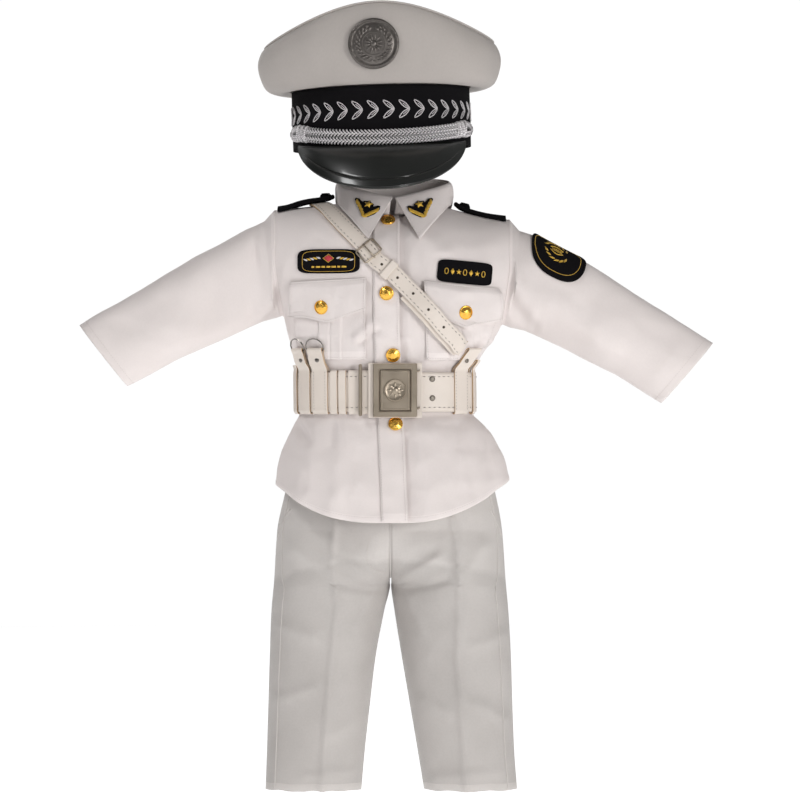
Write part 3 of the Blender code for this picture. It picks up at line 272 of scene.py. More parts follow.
def threadMaterial(name, dark, light, rough, metal, step=0.0011):
    # Embroidery: fine threads side by side along the piece's own uv, with painted shade between the
    # threads and painted highlights on their crests
    made, shader = newMaterial(name, light, rough, metal, 0.2)
    tree = made.node_tree
    across, along, up = split(places(tree, True))
    ridge = ((across + along * 0.35) * (2 * math.pi / step)).maths("SINE") * 0.5 + 0.5
    # The colour follows the ridges of the bump: painted shade in the grooves, painted highlight on
    # the crests
    tinted(shader, tree, ridge * 0.7 + blotch(places(tree), 300.0) * 0.3, dark, light)
    bumped(shader, tree, ridge, 0.6, 0.0003)
    return made


def matt(made, level):
    made.node_tree.nodes["Principled BSDF"].inputs["Specular IOR Level"].default_value = level


looks = {
    "jacket": wovenMaterial(
        "jacketCloth", (0.675, 0.615, 0.598), (0.82, 0.753, 0.735), 0.78, 0.1, 0.0008, 0.35,
        hem=0.0085
    ),
    "trim": wovenMaterial(
        "trimCloth", (0.69, 0.63, 0.613), (0.79, 0.724, 0.707), 0.76, 0.1, 0.0008, 0.35, 0.0, 0.3
    ),
    "trouser": wovenMaterial(
        "trouserCloth", (0.36, 0.335, 0.318), (0.58, 0.545, 0.522), 0.44, 0.15, 0.0007, 0.25, 1.0,
        0.35, tail=-0.373, hem=0.008
    ),
    "cap": wovenMaterial(
        "capCloth", (0.335, 0.307, 0.288), (0.475, 0.435, 0.41), 0.74, 0.1, 0.0009, 0.35, 0.0, 0.3
    ),
    "black": wovenMaterial(
        "blackCloth", (0.003, 0.003, 0.004), (0.009, 0.008, 0.009), 0.9, 0.0, 0.0010, 0.8
    ),
    "leather": grainedMaterial(
        "creamLeather", (0.62, 0.55, 0.49), (0.76, 0.685, 0.62), 0.44, 1500.0, 0.5
    ),
    "edge": grainedMaterial("tanEdge", (0.40, 0.25, 0.13), (0.62, 0.43, 0.25), 0.75, 900.0, 0.8),
    "visor": patentMaterial("patentBlack", (0.002, 0.003, 0.002), (0.006, 0.007, 0.006), 0.36),
    "gilt": metalMaterial("giltMetal", (0.70, 0.36, 0.05), (1.0, 0.63, 0.14), 0.26),
    "pewter": metalMaterial("pewterMetal", (0.05, 0.045, 0.042), (0.25, 0.228, 0.212), 0.4),
    "nickel": metalMaterial(
        "nickelMetal", (0.31, 0.262, 0.205), (0.47, 0.40, 0.322), 0.42, (0.06, 1.0, 1.0)
    ),
    "wire": metalMaterial("wireMetal", (0.10, 0.09, 0.08), (0.32, 0.30, 0.28), 0.3),
    "silver": threadMaterial("silverCord", (0.30, 0.28, 0.285), (0.92, 0.89, 0.91), 0.4, 0.15),
    "gold": threadMaterial(
        "goldThread", (0.42, 0.22, 0.01), (0.95, 0.62, 0.08), 0.45, 0.35, 0.0007
    ),
    "red": threadMaterial("redThread", (0.30, 0.01, 0.02), (0.60, 0.03, 0.05), 0.6, 0.0, 0.0007),
    # White thread, darker than the cloth it is sewn on: painted shade along the stitch lines
    "whiteThreadShaded": grainedMaterial(
        "whiteThreadShaded", (0.56, 0.505, 0.49), (0.68, 0.62, 0.60), 0.8, 2400.0, 0.9
    ),
    "greyThread": grainedMaterial(
        "greyThread", (0.24, 0.215, 0.20), (0.38, 0.345, 0.32), 0.8, 2400.0, 0.9
    ),
    "stud": metalMaterial("studMetal", (0.15, 0.135, 0.115), (0.30, 0.27, 0.235), 0.5),
    # A near-black core under the plaits: painted shade seen in the gaps between the strands
    "cordGapShade": threadMaterial("cordGapShade", (0.02, 0.02, 0.02), (0.11, 0.105, 0.11), 0.7, 0.0),
    # Near-black discs for the strap's holes: painted shade inside the holes
    "hole": grainedMaterial("holeShade", (0.02, 0.015, 0.01), (0.07, 0.05, 0.035), 0.9, 1800.0, 0.8),
}

matt(looks["black"], 0.06)
matt(looks["trouser"], 0.6)
matt(looks["visor"], 0.35)


# Pieces from points

def finished(name, bm, look, nodes=()):
    mesh = bpy.data.meshes.new(name)
    bm.to_mesh(mesh)
    bm.free()
    mesh.shade_smooth()
    piece = bpy.data.objects.new(name, mesh)
    scene.collection.objects.link(piece)
    mesh.materials.append(looks[look])
    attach(piece, "uniform")
    if nodes:
        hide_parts(*nodes)
    return piece


def turnedOut(bm, inside):
    # Faces of a sheet turned to look away from a point inside it
    bm.normal_update()
    facing = sum(face.normal.dot(face.calc_center_median() - inside * mm) for face in bm.faces)
    if facing < 0:
        bmesh.ops.reverse_faces(bm, faces=bm.faces)


def gridPiece(name, columns, rows, place, look, nodes, cut, inside=(0, 0, -180), **more):
    # A sheet on a grid: place gives its point for two shares from 0 to 1, cut is its flat size
    bm = bmesh.new()
    bmesh.ops.create_grid(bm, x_segments=columns, y_segments=rows, size=0.5)
    layer = bm.loops.layers.uv.new("cloth")
    shares = {vert: (vert.co.x + 0.5, vert.co.y + 0.5) for vert in bm.verts}
    for face in bm.faces:
        for loop in face.loops:
            across, up = shares[loop.vert]
            loop[layer].uv = (across * cut[0] * mm, up * cut[1] * mm)
    for vert, (across, up) in shares.items():
        vert.co = place(across, up) * mm
    if more.get("tube"):
        bmesh.ops.remove_doubles(bm, verts=bm.verts, dist=0.00002)
    turnedOut(bm, Vector(inside))
    piece = finished(name, bm, look, nodes)
    thicken(piece, more["thick"], more.get("grow", -1))
    return piece


def thicken(piece, thick, grow):
    layer = piece.modifiers.new("wall", "SOLIDIFY")
    layer.thickness = thick * mm
    layer.offset = grow
    if piece.data.materials[0] == looks["leather"]:
        piece.data.materials.append(looks["edge"])
        layer.material_offset_rim = 1


def discPiece(name, rings, steps, place, look, nodes, inside, flat=(0, 2), thick=1.2, grow=1):
    # A patch: rings of points out to its outline, from a place by share and turn
    bm = bmesh.new()
    layer = bm.loops.layers.uv.new("cloth")
    middle = bm.verts.new(place(0, 0) * mm)
    turns = [2 * math.pi * s / steps for s in range(steps)]
    grid = [[bm.verts.new(place(r / rings, a) * mm) for a in turns] for r in range(1, rings + 1)]
    for s in range(steps):
        bm.faces.new((middle, grid[0][s], grid[0][(s + 1) % steps]))
    for near, far in zip(grid, grid[1:]):
        for s in range(steps):
            t = (s + 1) % steps
            bm.faces.new((near[s], far[s], far[t], near[t]))
    turnedOut(bm, Vector(inside))
    for face in bm.faces:
        for loop in face.loops:
            loop[layer].uv = [loop.vert.co[axis] for axis in flat]
    piece = finished(name, bm, look, nodes)
    thicken(piece, thick, grow)


def ringOf(middle, side, wide, up, tall, count):
    # Points of an oval round a middle
    turns = [2 * math.pi * k / count for k in range(count)]
    return [middle + side * wide * math.cos(a) + up * tall * math.sin(a) for a in turns]


def rodInto(bm, points, radius, sides=6, closed=False, flat=1.0):
    # A round rod through points, with its ends filled
    rings = []
    count = len(points)
    guide = Vector((0.13, 0.2, 0.97))
    for k, point in enumerate(points):
        if closed:
            ahead = points[(k + 1) % count] - points[k - 1]
        else:
            ahead = points[min(k + 1, count - 1)] - points[max(k - 1, 0)]
        ahead = ahead.normalized()
        side = ahead.cross(guide)
        if side.length < 0.05:
            side = ahead.cross(Vector((1, 0, 0)))
        side.normalize()
        high = side.cross(ahead).normalized()
        spots = ringOf(point, side, radius, high, radius * flat, sides)
        rings.append([bm.verts.new(spot * mm) for spot in spots])
    faces = []
    for k in range(count if closed else count - 1):
        near, far = rings[k], rings[(k + 1) % count]
        for s in range(sides):
            t = (s + 1) % sides
            faces.append(bm.faces.new((near[s], near[t], far[t], far[s])))
    if not closed:
        faces.append(bm.faces.new(rings[0][::-1]))
        faces.append(bm.faces.new(rings[-1]))
    layer = bm.loops.layers.uv.verify()
    for k, face in enumerate(faces):
        for c, loop in enumerate(face.loops):
            along = (k // sides + (c > 1)) * 1.2 * mm
            loop[layer].uv = (along, (k % sides + (c in (1, 2))) * 0.5 * mm)


def ropeInto(bm, points, radius, turns):
    # A rope of two strands wound round a closed line of points
    count = len(points)
    for strand in (0, 0.5):
        line = []
        for k, point in enumerate(points):
            ahead = (points[(k + 1) % count] - points[k - 1]).normalized()
            side = ahead.cross(Vector((0.1, -1, 0.2))).normalized()
            high = side.cross(ahead).normalized()
            a = 2 * math.pi * (turns * k / count + strand)
            line.append(point + side * radius * math.cos(a) + high * radius * math.sin(a))
        rodInto(bm, line, radius * 0.95, 6, True)


def turnedInto(bm, spot, normal, side, profile, steps):
    # A turned shape: rows of radius and lift, spun round the normal, with both ends filled
    before = set(bm.faces)
    verts = [bm.verts.new((spot + side * radius + normal * lift) * mm) for radius, lift in profile]
    edges = [bm.edges.new(pair) for pair in zip(verts, verts[1:])]
    bmesh.ops.spin(
        bm, geom=verts + edges, cent=spot * mm, axis=normal, angle=2 * math.pi, steps=steps,
        use_merge=True,
    )
    faces = [face for face in bm.faces if face not in before]
    rims = list({edge for face in faces for edge in face.edges if edge.is_boundary})
    faces += bmesh.ops.holes_fill(bm, edges=rims, sides=0)["faces"]
    bmesh.ops.recalc_face_normals(bm, faces=faces)


def domeInto(bm, spot, normal, radius, height, steps=20, rings=5):
    # A low round head that stands on a face
    profile = [(radius, -0.3), (radius, 0.12 * height)]
    for r in range(rings):
        turn = (r + 1) / rings * math.pi / 2
        profile.append((radius * math.cos(0.94 * turn), height * (0.12 + 0.88 * math.sin(turn))))
    turnedInto(bm, spot, normal, normal.orthogonal().normalized(), profile, steps)


def leafInto(bm, spot, normal, way, length, width, height):
    # A raised pointed leaf of embroidery or metal, lying on a face
    side = way.cross(normal).normalized()
    layer = bm.loops.layers.uv.verify()
    points = []
    for share in (0.0, 0.18, 0.45, 0.75, 1.0):
        wide = width / 2 * math.sin(math.pi * share**0.8) if 0 < share < 1 else 0
        middle = spot + way * (share - 0.5) * length
        crest = height * (0.25 + 0.75 * math.sin(math.pi * share))
        across = (side * -wide, normal * crest, side * wide)
        points.append([bm.verts.new((middle + step) * mm) for step in across])
    for k in range(4):
        for c in range(2):
            near, far = points[k], points[k + 1]
            face = bm.faces.new((near[c], near[c + 1], far[c + 1], far[c]))
            for loop, (u, v) in zip(face.loops, ((k, c), (k, c + 1), (k + 1, c + 1), (k + 1, c))):
                loop[layer].uv = (u * length / 4 * mm, v * width / 2 * mm)
    bmesh.ops.remove_doubles(bm, verts=[v for row in points for v in row], dist=0.000001)


def rosetteInto(bm, middle, normal, side, up, leaves, radius, size, start=0, dip=0):
    # Leaves that point outwards all round a middle; size is length, width and height of one
    for k in range(leaves):
        a = 2 * math.pi * k / leaves + start
        way = side * math.cos(a) + up * math.sin(a)
        leafInto(bm, middle + way * radius, normal, (way - normal * dip).normalized(), *size)


def shapeInto(bm, spot, normal, way, outline, height, crown=0.0):
    # A flat raised shape: outline is a list of points as shares along way and across it
    side = way.cross(normal).normalized()
    base = [spot + way * a + side * b for a, b in outline]
    low = [bm.verts.new(p * mm) for p in base]
    high = [bm.verts.new((p + normal * height) * mm) for p in base]
    top = bm.verts.new((spot + normal * (height + crown)) * mm)
    count = len(base)
    for k in range(count):
        t = (k + 1) % count
        bm.faces.new((low[k], low[t], high[t], high[k]))
        bm.faces.new((high[k], high[t], top))


def starOutline(size):
    # Five points, and notches at 0.42 of their reach
    steps = [(size * (0.42 if k % 2 else 1), math.pi * k / 5) for k in range(10)]
    return [(reach * math.cos(a), reach * math.sin(a)) for reach, a in steps]


def stitchInto(bm, line, pitch=3.2, share=0.66, radius=0.3):
    # Stitches along a line of points and normals: each a short thread that dips at both ends
    walked = 0.0
    for (a, na), (b, nb) in zip(line, line[1:]):
        span = (b - a).length
        if span < 1e-6:
            continue
        way = (b - a) / span
        while walked < span:
            middle = a + way * (walked + pitch * share / 2)
            normal = na.lerp(nb, min(walked / span, 1)).normalized()
            side = way.cross(normal).normalized()
            half = pitch * share / 2
            ends = [middle - way * half - normal * 0.15, middle + way * half - normal * 0.15]
            ring = [middle + side * radius, middle + normal * radius, middle - side * radius]
            corner = [bm.verts.new(p * mm) for p in ends + ring]
            first, last, left, top, right = corner
            bm.faces.new((first, left, top))
            bm.faces.new((first, top, right))
            bm.faces.new((left, last, top))
            bm.faces.new((top, last, right))
            bm.faces.new((left, first, right))
            bm.faces.new((right, last, left))
            walked += pitch
        walked -= span


# Form of the jacket's body, the same as in the solids

cloth = {
    "wall": 1.2,  # thickness of the cloth
    "seam": 0.25,  # half of the gap that is left where two pieces are sewn together
    "nap": 0.6,  # how far a piece that is sewn on lies off the face beneath it
}

coat = {
    "roundness": 2.3,  # exponent of the rounded sections; 2 would be an ellipse
    # Height of the middle of the armhole, where the shoulder starts to roll over
    "armMiddle": -57.0,
    "armPit": -113.0,
    "armDepth": 46.0,  # half of the armhole from front to back
    "shoulderHalf": 124.0,  # from the middle to the sleeve's seam
    "hemMiddle": -331.0,
    "hemHalf": 121.0,
    "hemRise": 38.0,  # how much higher the hem is at the side seams
    "skirtTop": -230.0,
    "neckHalf": 56.0,
    "neckFront": 50.0,
    "neckBack": 38.0,
    "ridgeNeck": 6.0,  # height of the shoulder seam at the neck
    "ridgeTip": -1.0,  # and at the sleeve
    "shoulderDrop": 10.0,  # the wearer's left shoulder hangs lower
    # Height, half width, shift to the left, and depth in front and behind
    "torso": (
        (-345, 124.0, 2.5, 93, 87),
        (-300, 123.5, 2.5, 90, 84),
        (-274, 121.0, 2.5, 85, 79),
        (-250, 112.5, 1.0, 77, 71),
        (-236, 105.0, -0.5, 72, 66),
        (-225, 97.5, -2.5, 67, 61),
        (-217, 91.5, -4.5, 64.5, 58.5),
        (-171, 91.5, -5.0, 64.5, 58.5),
        (-163, 96.0, -4.0, 68, 61),
        (-148, 103.0, -1.0, 73, 65),
        (-135, 109.0, 1.0, 77, 68),
        (-113, 115.5, 2.5, 80, 71),
        (-57, 124.0, 2.0, 79, 72),
    ),
    # Folds: from x and z to x and z, half width and height
    "frontFolds": (
        (-50, -228, -64, -320, 12, 4.4),
        (-88, -230, -103, -296, 11, 3.6),
        (62, -228, 78, -318, 12, 4.6),
        (30, -230, 36, -330, 10, 2.4),
        (-96, -112, -80, -134, 11, 3.0),
        (102, -118, 86, -136, 11, 3.0),
        (-24, -118, -31, -150, 10, 2.0),
    ),
    "backFolds": (
        (-62, -228, -80, -316, 12, 4.4),
        (0, -230, 4, -330, 12, 3.6),
        (62, -228, 78, -318, 12, 4.4),
        (-94, -112, -66, -148, 11, 3.2),
        (94, -116, 64, -150, 11, 3.2),
        (0, -118, 0, -150, 12, 2.4),
    ),
    # Creases: from x and z to x and z, half width, and height, which is below zero for a trough
    "frontCreases": (
        (-20, -124, -34, -136, 4.5, 2.9),
        (-14, -130, -30, -142, 4.0, -2.4),
        (-110, -150, -70, -168, 7.0, 3.7),
        (-112, -160, -66, -172, 6.0, -3.1),
        (40, -160, 104, -140, 8.0, 3.4),
        (52, -168, 100, -152, 6.0, -2.7),
        (-30, -20, -60, -52, 9.0, 2.4),
        (34, -26, 56, -52, 8.0, 2.2),
        (-118, -70, -92, -130, 8.0, 3.7),
        (-110, -80, -100, -140, 5.0, -2.7),
        (122, -80, 100, -130, 8.0, 3.7),
        (-60, -222, -62, -250, 4.0, -2.2),
        (-74, -226, -86, -300, 10.0, 2.8),
        (-42, -238, -34, -310, 11.0, 2.2),
        (74, -224, 73, -252, 4.0, -2.2),
        (86, -226, 98, -300, 10.0, 2.8),
        (46, -236, 54, -316, 11.0, 2.2),
        (24, -240, 20, -300, 9.0, -1.2),
        (-104, -222, -86, -246, 5.0, -2.6),
        (-110, -240, -122, -296, 9.0, 2.6),
        (108, -236, 122, -290, 9.0, 2.6),
        (-8, -140, -14, -168, 6.0, 2.0),
        (16, -140, 20, -170, 6.0, 2.4),
    ),
    "backCreases": (
        (-96, -60, -70, -130, 10, 3.9),
        (96, -60, 70, -130, 10, 3.9),
        (-40, -140, 42, -134, 9, 2.7),
        (-30, -158, 60, -164, 8, -2.4),
        (-70, -160, -20, -168, 7, 2.7),
        (-36, -230, -44, -300, 8, 3.6),
        (36, -230, 42, -306, 8, 3.6),
        (-18, -228, -22, -290, 6, -3.0),
        (20, -228, 18, -290, 6, -2.7),
        (-92, -232, -108, -296, 9, 3.6),
        (92, -232, 108, -296, 9, 3.6),
        (0, -30, 0, -110, 22, 2.4),
    ),
    # Places where the cloth is held flat: x, z, half width and half height
    "calmSpots": (
        (-64, -57.5, 36, 16),
        (78, -69, 32, 15),
        (-2, -15.5, 9, 9),
        (-3.6, -91, 9, 9),
        (3.2, -154.8, 10, 9),
        (5.8, -228.8, 10, 9),
        (-70, -104.8, 8, 8),
        (77.4, -110.2, 8, 8),
        (-84, -156, 26, 18),
        (78, -152, 14, 20),
    ),
    "backCalm": ((52, -158, 12, 20), (0, -4, 60, 14)),
}


# The other columns of a table at a height, on a smooth curve through its rows.
def read(table, at):
    low, high = table[0][0], table[-1][0]
    at = min(max(at, low), high)
    i = 0
    while i < len(table) - 2 and table[i + 1][0] < at:
        i += 1
    a, b = table[i], table[i + 1]
    before, after = table[max(i - 1, 0)], table[min(i + 2, len(table) - 1)]
    span = b[0] - a[0]
    t = (at - a[0]) / span
    out = []
    for k in range(1, len(a)):
        step = b[k] - a[k]
        start = limited((a[k] - before[k]) / max(a[0] - before[0], 1e-9) * span, step, a is before)
        end = limited((after[k] - b[k]) / max(after[0] - b[0], 1e-9) * span, step, b is after)
        bend = 3 * t * t - 2 * t**3
        out.append(
            a[k] + step * bend + start * (t - 2 * t * t + t**3) + end * (t**3 - t * t)
        )
    return out


# How far in front of and behind the side seam the body's edge lies at a height.
def armholeEdge(z):
    share = (z - coat["armMiddle"]) / (coat["armMiddle"] - coat["armPit"])
    if share <= -1:
        return cloth["seam"]
    return max(cloth["seam"], coat["armDepth"] * math.sqrt(1 - share * share))


# Reach, sideways shift, depth and edge depth of the body's section at a height.
def section(z, back):
    height = min(z, coat["armMiddle"])
    half, shift, front, rear = read(coat["torso"], height)
    depth = rear if back else front
    edge = armholeEdge(height)
    reach = half / (1 - (edge / depth) ** coat["roundness"]) ** (1 / coat["roundness"])
    return reach, shift, depth, edge


def power(value):
    return math.copysign(abs(value) ** (2 / coat["roundness"]), value)


# Height of the shoulder seam at a distance from the middle.
def ridge(x):
    slope = (coat["ridgeTip"] - coat["ridgeNeck"]) / (coat["shoulderHalf"] - coat["neckHalf"])
    return coat["ridgeNeck"] + slope * max(abs(x) - coat["neckHalf"], 0)


def droop(x, z):
    return coat["shoulderDrop"] * soft((x - 20) / 90) * soft((z + 150) / 45)


def hem(x):
    lift = 5 * soft((x - 20) / 80)
    return coat["hemMiddle"] + coat["hemRise"] * min(abs(x) / coat["hemHalf"], 1.1) ** 3 + lift


def foldHeight(x, z, back):
    total = 0.0
    for x0, z0, x1, z1, width, height in coat["backFolds"] if back else coat["frontFolds"]:
        along = min(max((z - z0) / (z1 - z0), -0.4), 1.4)
        away = (x - (x0 + (x1 - x0) * along)) / width
        if along < 0:
            fade = soft(1 + along / 0.15)
        elif along > 1:
            fade = 1.0 if z1 < coat["skirtTop"] else soft((1.4 - along) / 0.4)
        else:
            fade = 1.0
        total += height * fade * soft(along + 0.45) * math.exp(-away * away)
    return total


# Where the roll over the shoulder stops: at the neck seam or at the shoulder seam.
def neckAngle(x, y, back):
    rim = cloth["seam"]
    if abs(x) < coat["neckHalf"]:
        depth = coat["neckBack"] if back else coat["neckFront"]
        rim = max(rim, depth * math.sqrt(1 - (x / coat["neckHalf"]) ** 2))
    return math.asin(min(rim / y, 1))


# Depth of a rounded section at a distance from its middle.
def depthAt(away, reach, depth):
    return depth * max(1 - (abs(away) / reach) ** coat["roundness"], 0) ** (1 / coat["roundness"])


# Height of the jacket where it rolls over the shoulder.
def rolledHeight(x, roll):
    return ridge(x) - (ridge(x) - coat["armMiddle"]) * (1 - math.cos(roll))


# Folds, shift and the lower shoulder, added to a point of the plain body.
def placed(x, y, z, shift, back):
    share = min(max(y / 60, 0), 1)
    y += foldHeight(x, z, back) * share
    x += shift
    return Vector((x, y if back else -y, z - droop(x, z)))


# A point of the jacket: angle from the front or back middle, -90 to 90 degrees.
def bodyPoint(angle, level, back):
    reach, shift, depth = section(level, back)[:3]
    turn = math.radians(angle)
    x = reach * power(math.sin(turn))
    z = level
    if level < coat["skirtTop"]:
        share = (level - coat["skirtTop"]) / (coat["hemMiddle"] - coat["skirtTop"])
        z = coat["skirtTop"] + share * (hem(x) - coat["skirtTop"])
        reach, shift, depth = section(z, back)[:3]
        x = reach * power(math.sin(turn))
    y = depth * power(math.cos(turn))
    if level > coat["armMiddle"]:
        stop = neckAngle(x, y, back)
        roll = math.pi / 2 + (stop - math.pi / 2) * (1 - level / coat["armMiddle"])
        z = rolledHeight(x, roll)
        y *= math.sin(roll)
    return placed(x, y, z, shift, back)


# The angle of the armhole's edge or the side seam at a level.
def edgeAngle(level, back):
    depth, edge = section(level, back)[2:]
    return math.degrees(math.acos((edge / depth) ** (coat["roundness"] / 2)))


# The angle at which the section passes a distance from the middle of the figure.
def angleOf(x, level, back=False):
    reach, shift = section(level, back)[:2]
    away = x - shift
    return math.degrees(
        math.asin(math.copysign((abs(away) / reach) ** (coat["roundness"] / 2), away))
    )


# The jacket's face at x and z, without its lift.
def plainPoint(x, z, back):
    high = z
    for step in range(3):
        high = z + droop(x, high)
    reach, shift, depth = section(high, back)[:3]
    away = x - shift
    y = depthAt(away, reach, depth)
    if high > coat["armMiddle"]:
        share = min(max((ridge(away) - high) / (ridge(away) - coat["armMiddle"]), 0), 1)
        y *= math.sin(math.acos(1 - share))
    y += foldHeight(away, high, back) * min(max(y / 60, 0), 1)
    return Vector((x, y if back else -y, z))


def faceNormal(x, z, back):
    step = 1.0
    across = plainPoint(x + step, z, back) - plainPoint(x - step, z, back)
    up = plainPoint(x, z + step, back) - plainPoint(x, z - step, back)
    normal = across.cross(up).normalized()
    return -normal if back else normal


# A point that lies a given lift off the jacket, at x and z as seen from the front.
def onFront(x, z, lift=0.0, back=False):
    point = plainPoint(x, z, back)
    return point + faceNormal(x, z, back) * lift


# The jacket's face along a line that runs up the front, over the shoulder and down.
def overPoint(x, run):
    back = run > 0
    level = -abs(run)
    reach, shift, depth = section(level, back)[:3]
    away = x - shift
    y = depthAt(away, reach, depth)
    z = level
    if level > coat["armMiddle"]:
        roll = math.pi / 2 * level / coat["armMiddle"]
        z = rolledHeight(away, roll)
        y *= math.sin(roll)
    return placed(away, y, z, shift, back)


def over(x, run, lift):
    step = 0.5
    across = overPoint(x + step, run) - overPoint(x - step, run)
    along = overPoint(x, run + step) - overPoint(x, run - step)
    normal = across.cross(along).normalized()
    return overPoint(x, run) + normal * lift, normal


# A point off the jacket at an angle round it: 0 is the front, 180 the back.
def roundPoint(angle, z, lift):
    turn = (angle + 180) % 360 - 180
    back = abs(turn) > 90
    near = math.copysign(180, turn) - turn if back else turn
    reach, shift, depth = section(z, back)[:3]
    away = reach * power(math.sin(math.radians(near)))
    y = depth * power(math.cos(math.radians(near)))
    slopeX = math.copysign((abs(away) / reach) ** (coat["roundness"] - 1) / reach, away)
    slopeY = (y / depth) ** (coat["roundness"] - 1) / depth
    normal = Vector((slopeX, slopeY if back else -slopeY, 0)).normalized()
    point = Vector((away + shift, y if back else -y, z))
    return point + normal * lift, normal


# The neck seam at an angle from the front.
def neckPoint(angle, side):
    turn = math.radians(angle)
    back = angle > 90
    x = side * coat["neckHalf"] * math.sin(turn) * 0.985
    rim = (coat["neckBack"] if back else coat["neckFront"]) * abs(math.cos(turn))
    reach, shift, depth = section(coat["armMiddle"], back)[:3]
    roll = math.asin(min(rim / depthAt(x, reach, depth), 1))
    z = rolledHeight(x, roll)
    return Vector((x + shift, rim if back else -rim, z - droop(x + shift, z)))


# A point above the shoulder at x and y.
def shoulderTop(x, y, lift):
    back = y > 0
    reach, shift, depth = section(coat["armMiddle"], back)[:3]
    away = x - shift
    z = rolledHeight(away, math.asin(min(abs(y) / depthAt(away, reach, depth), 1)))
    return Vector((x, y, z - droop(x, z) + lift))


# The jacket's body

def creases(table, x, z, sharp=False):
    # Where two of a kind meet, the stronger one counts
    high, low = 0.0, 0.0
    for x0, z0, x1, z1, width, height in table:
        dx, dz = x1 - x0, z1 - z0
        length = dx * dx + dz * dz
        share = ((x - x0) * dx + (z - z0) * dz) / length
        near = min(max(share, 0), 1)
        away = math.hypot(x - x0 - dx * near, z - z0 - dz * near) / width
        if away < 3:
            value = height * (math.exp(-1.3 * away) if sharp else math.exp(-away * away))
            high, low = max(high, value), min(low, value)
    return high + low


def rumple(point, size, height):
    # Soft uneven rumples, the same on each run
    return height * noise.noise(Vector(point) / size)


def jacketLevel(up):
    # The level runs from the hem's middle up to the seam on the shoulder
    return coat["hemMiddle"] * (1 - up)


def calmness(x, z, back):
    share = 1.0
    for x0, z0, wide, high in coat["backCalm"] if back else coat["calmSpots"]:
        away = max(abs(x - x0) / wide, abs(z - z0) / high)
        share *= soft((away - 1) * min(wide, high) / 6)
    line = crossStrap["back"] if back else crossStrap["front"]
    spots = [(row[0], -abs(row[1])) for row in line]
    for (xa, za), (xb, zb) in zip(spots, spots[1:]):
        dx, dz = xb - xa, zb - za
        near = min(max(((x - xa) * dx + (z - za) * dz) / (dx * dx + dz * dz), 0), 1)
        gap = math.hypot(x - xa - dx * near, z - za - dz * near)
        share *= soft((gap - 11) / 7)
    return share * soft(beltBelow(z) / 12) * soft((-z - 8) / 26)


def clothLift(x, z, back=False):
    # How far creases and rumples move the jacket's face at x and z
    lift = creases(coat["backCreases"] if back else coat["frontCreases"], x, z)
    lift += rumple((x, z * 1.4, 40 if back else 0), 30, 2.2)
    lift += rumple((x * 1.3, z, 90), 12, 0.7)
    return lift * calmness(x, z, back)


def jacketPoint(angle, level, back, lap=False):
    point = bodyPoint(angle, level, back)
    x, z = point.x, point.z
    lift = clothLift(x, z, back)
    size = lift * soft((edgeAngle(level, back) - abs(angle)) / 12)
    out = Vector((x * 0.35, point.y, 0)).normalized()
    point += out * size
    if lap:
        roll = math.pi / 2 * min(level / coat["armMiddle"], 1)
        deep = placket["underlapDepth"] * soft((placketEdge(level) + 11 - point.x) / 9)
        point.y += deep * math.sin(roll)
        point.z -= deep * math.cos(roll)
    return point


def beltBelow(z):
    # How far a height is from the belt's edges; nothing stands out under the belt
    if z > belt["top"]:
        return z - belt["top"] - 4
    if z < belt["bottom"]:
        return belt["bottom"] - z - 4
    return 0


def panelPlace(lines, back, lap=False):
    def place(across, up):
        level = jacketLevel(up)
        first, last = lines(level)
        return jacketPoint(first + (last - first) * across, level, back, lap)

    return place


def rightLines(level):
    return -edgeAngle(level, False), angleOf(placketEdge(level) - 0.8, level)


def leftLines(level):
    return angleOf(placketEdge(level) - placket["underlap"], level), edgeAngle(level, False)


def backLines(level):
    return -edgeAngle(level, True), edgeAngle(level, True)


def makeBody():
    for name, node, columns, place, cut in (
        ("jacketFrontRight", "jacket_front_right", 60, panelPlace(rightLines, False), (172, 392)),
        ("jacketFrontLeft", "jacket_front_left", 60, panelPlace(leftLines, False, True),
         (190, 392)),
        ("jacketBack", "jacket_back", 90, panelPlace(backLines, True), (300, 388)),
    ):
        gridPiece(name, columns, 150, place, "jacket", [node], cut, thick=cloth["wall"])


# Sleeves

# Rings of each sleeve: x and z of the crest, x and z of the underside, half of the depth
sleeves = {
    "sleeve_right": (
        (-134, -13, -121, -115.5, 45),
        (-152, -21, -134, -119, 43.5),
        (-175, -34, -153, -127, 41),
        (-206, -50, -178, -139, 38),
        (-240, -70, -204, -150, 35),
        (-275, -91, -232, -163, 31.5),
        (-305, -108, -256, -176, 28.5),
        (-330, -123, -279, -188, 26.5),
    ),
    "sleeve_left": (
        (137, -23, 127, -125.5, 45),
        (154, -28, 143, -129, 43.5),
        (181, -42, 163, -138, 41),
        (211, -58, 188, -150, 38),
        (246, -80, 214, -163, 35),
        (281, -103, 240, -176, 31.5),
        (314, -124, 264, -191, 28.5),
        (343, -142, 288, -206, 26.5),
    ),
}


# The sleeve's first ring, just outside the body, at a turn from the shoulder.
def armhole(side, turn):
    z = coat["armMiddle"] + (coat["armMiddle"] - coat["armPit"]) * math.cos(turn)
    half, shift = read(coat["torso"], min(z, coat["armMiddle"]))[:2]
    x = side * (half + 0.9) + shift
    return Vector((x, -coat["armDepth"] * math.sin(turn), z - droop(x, z)))


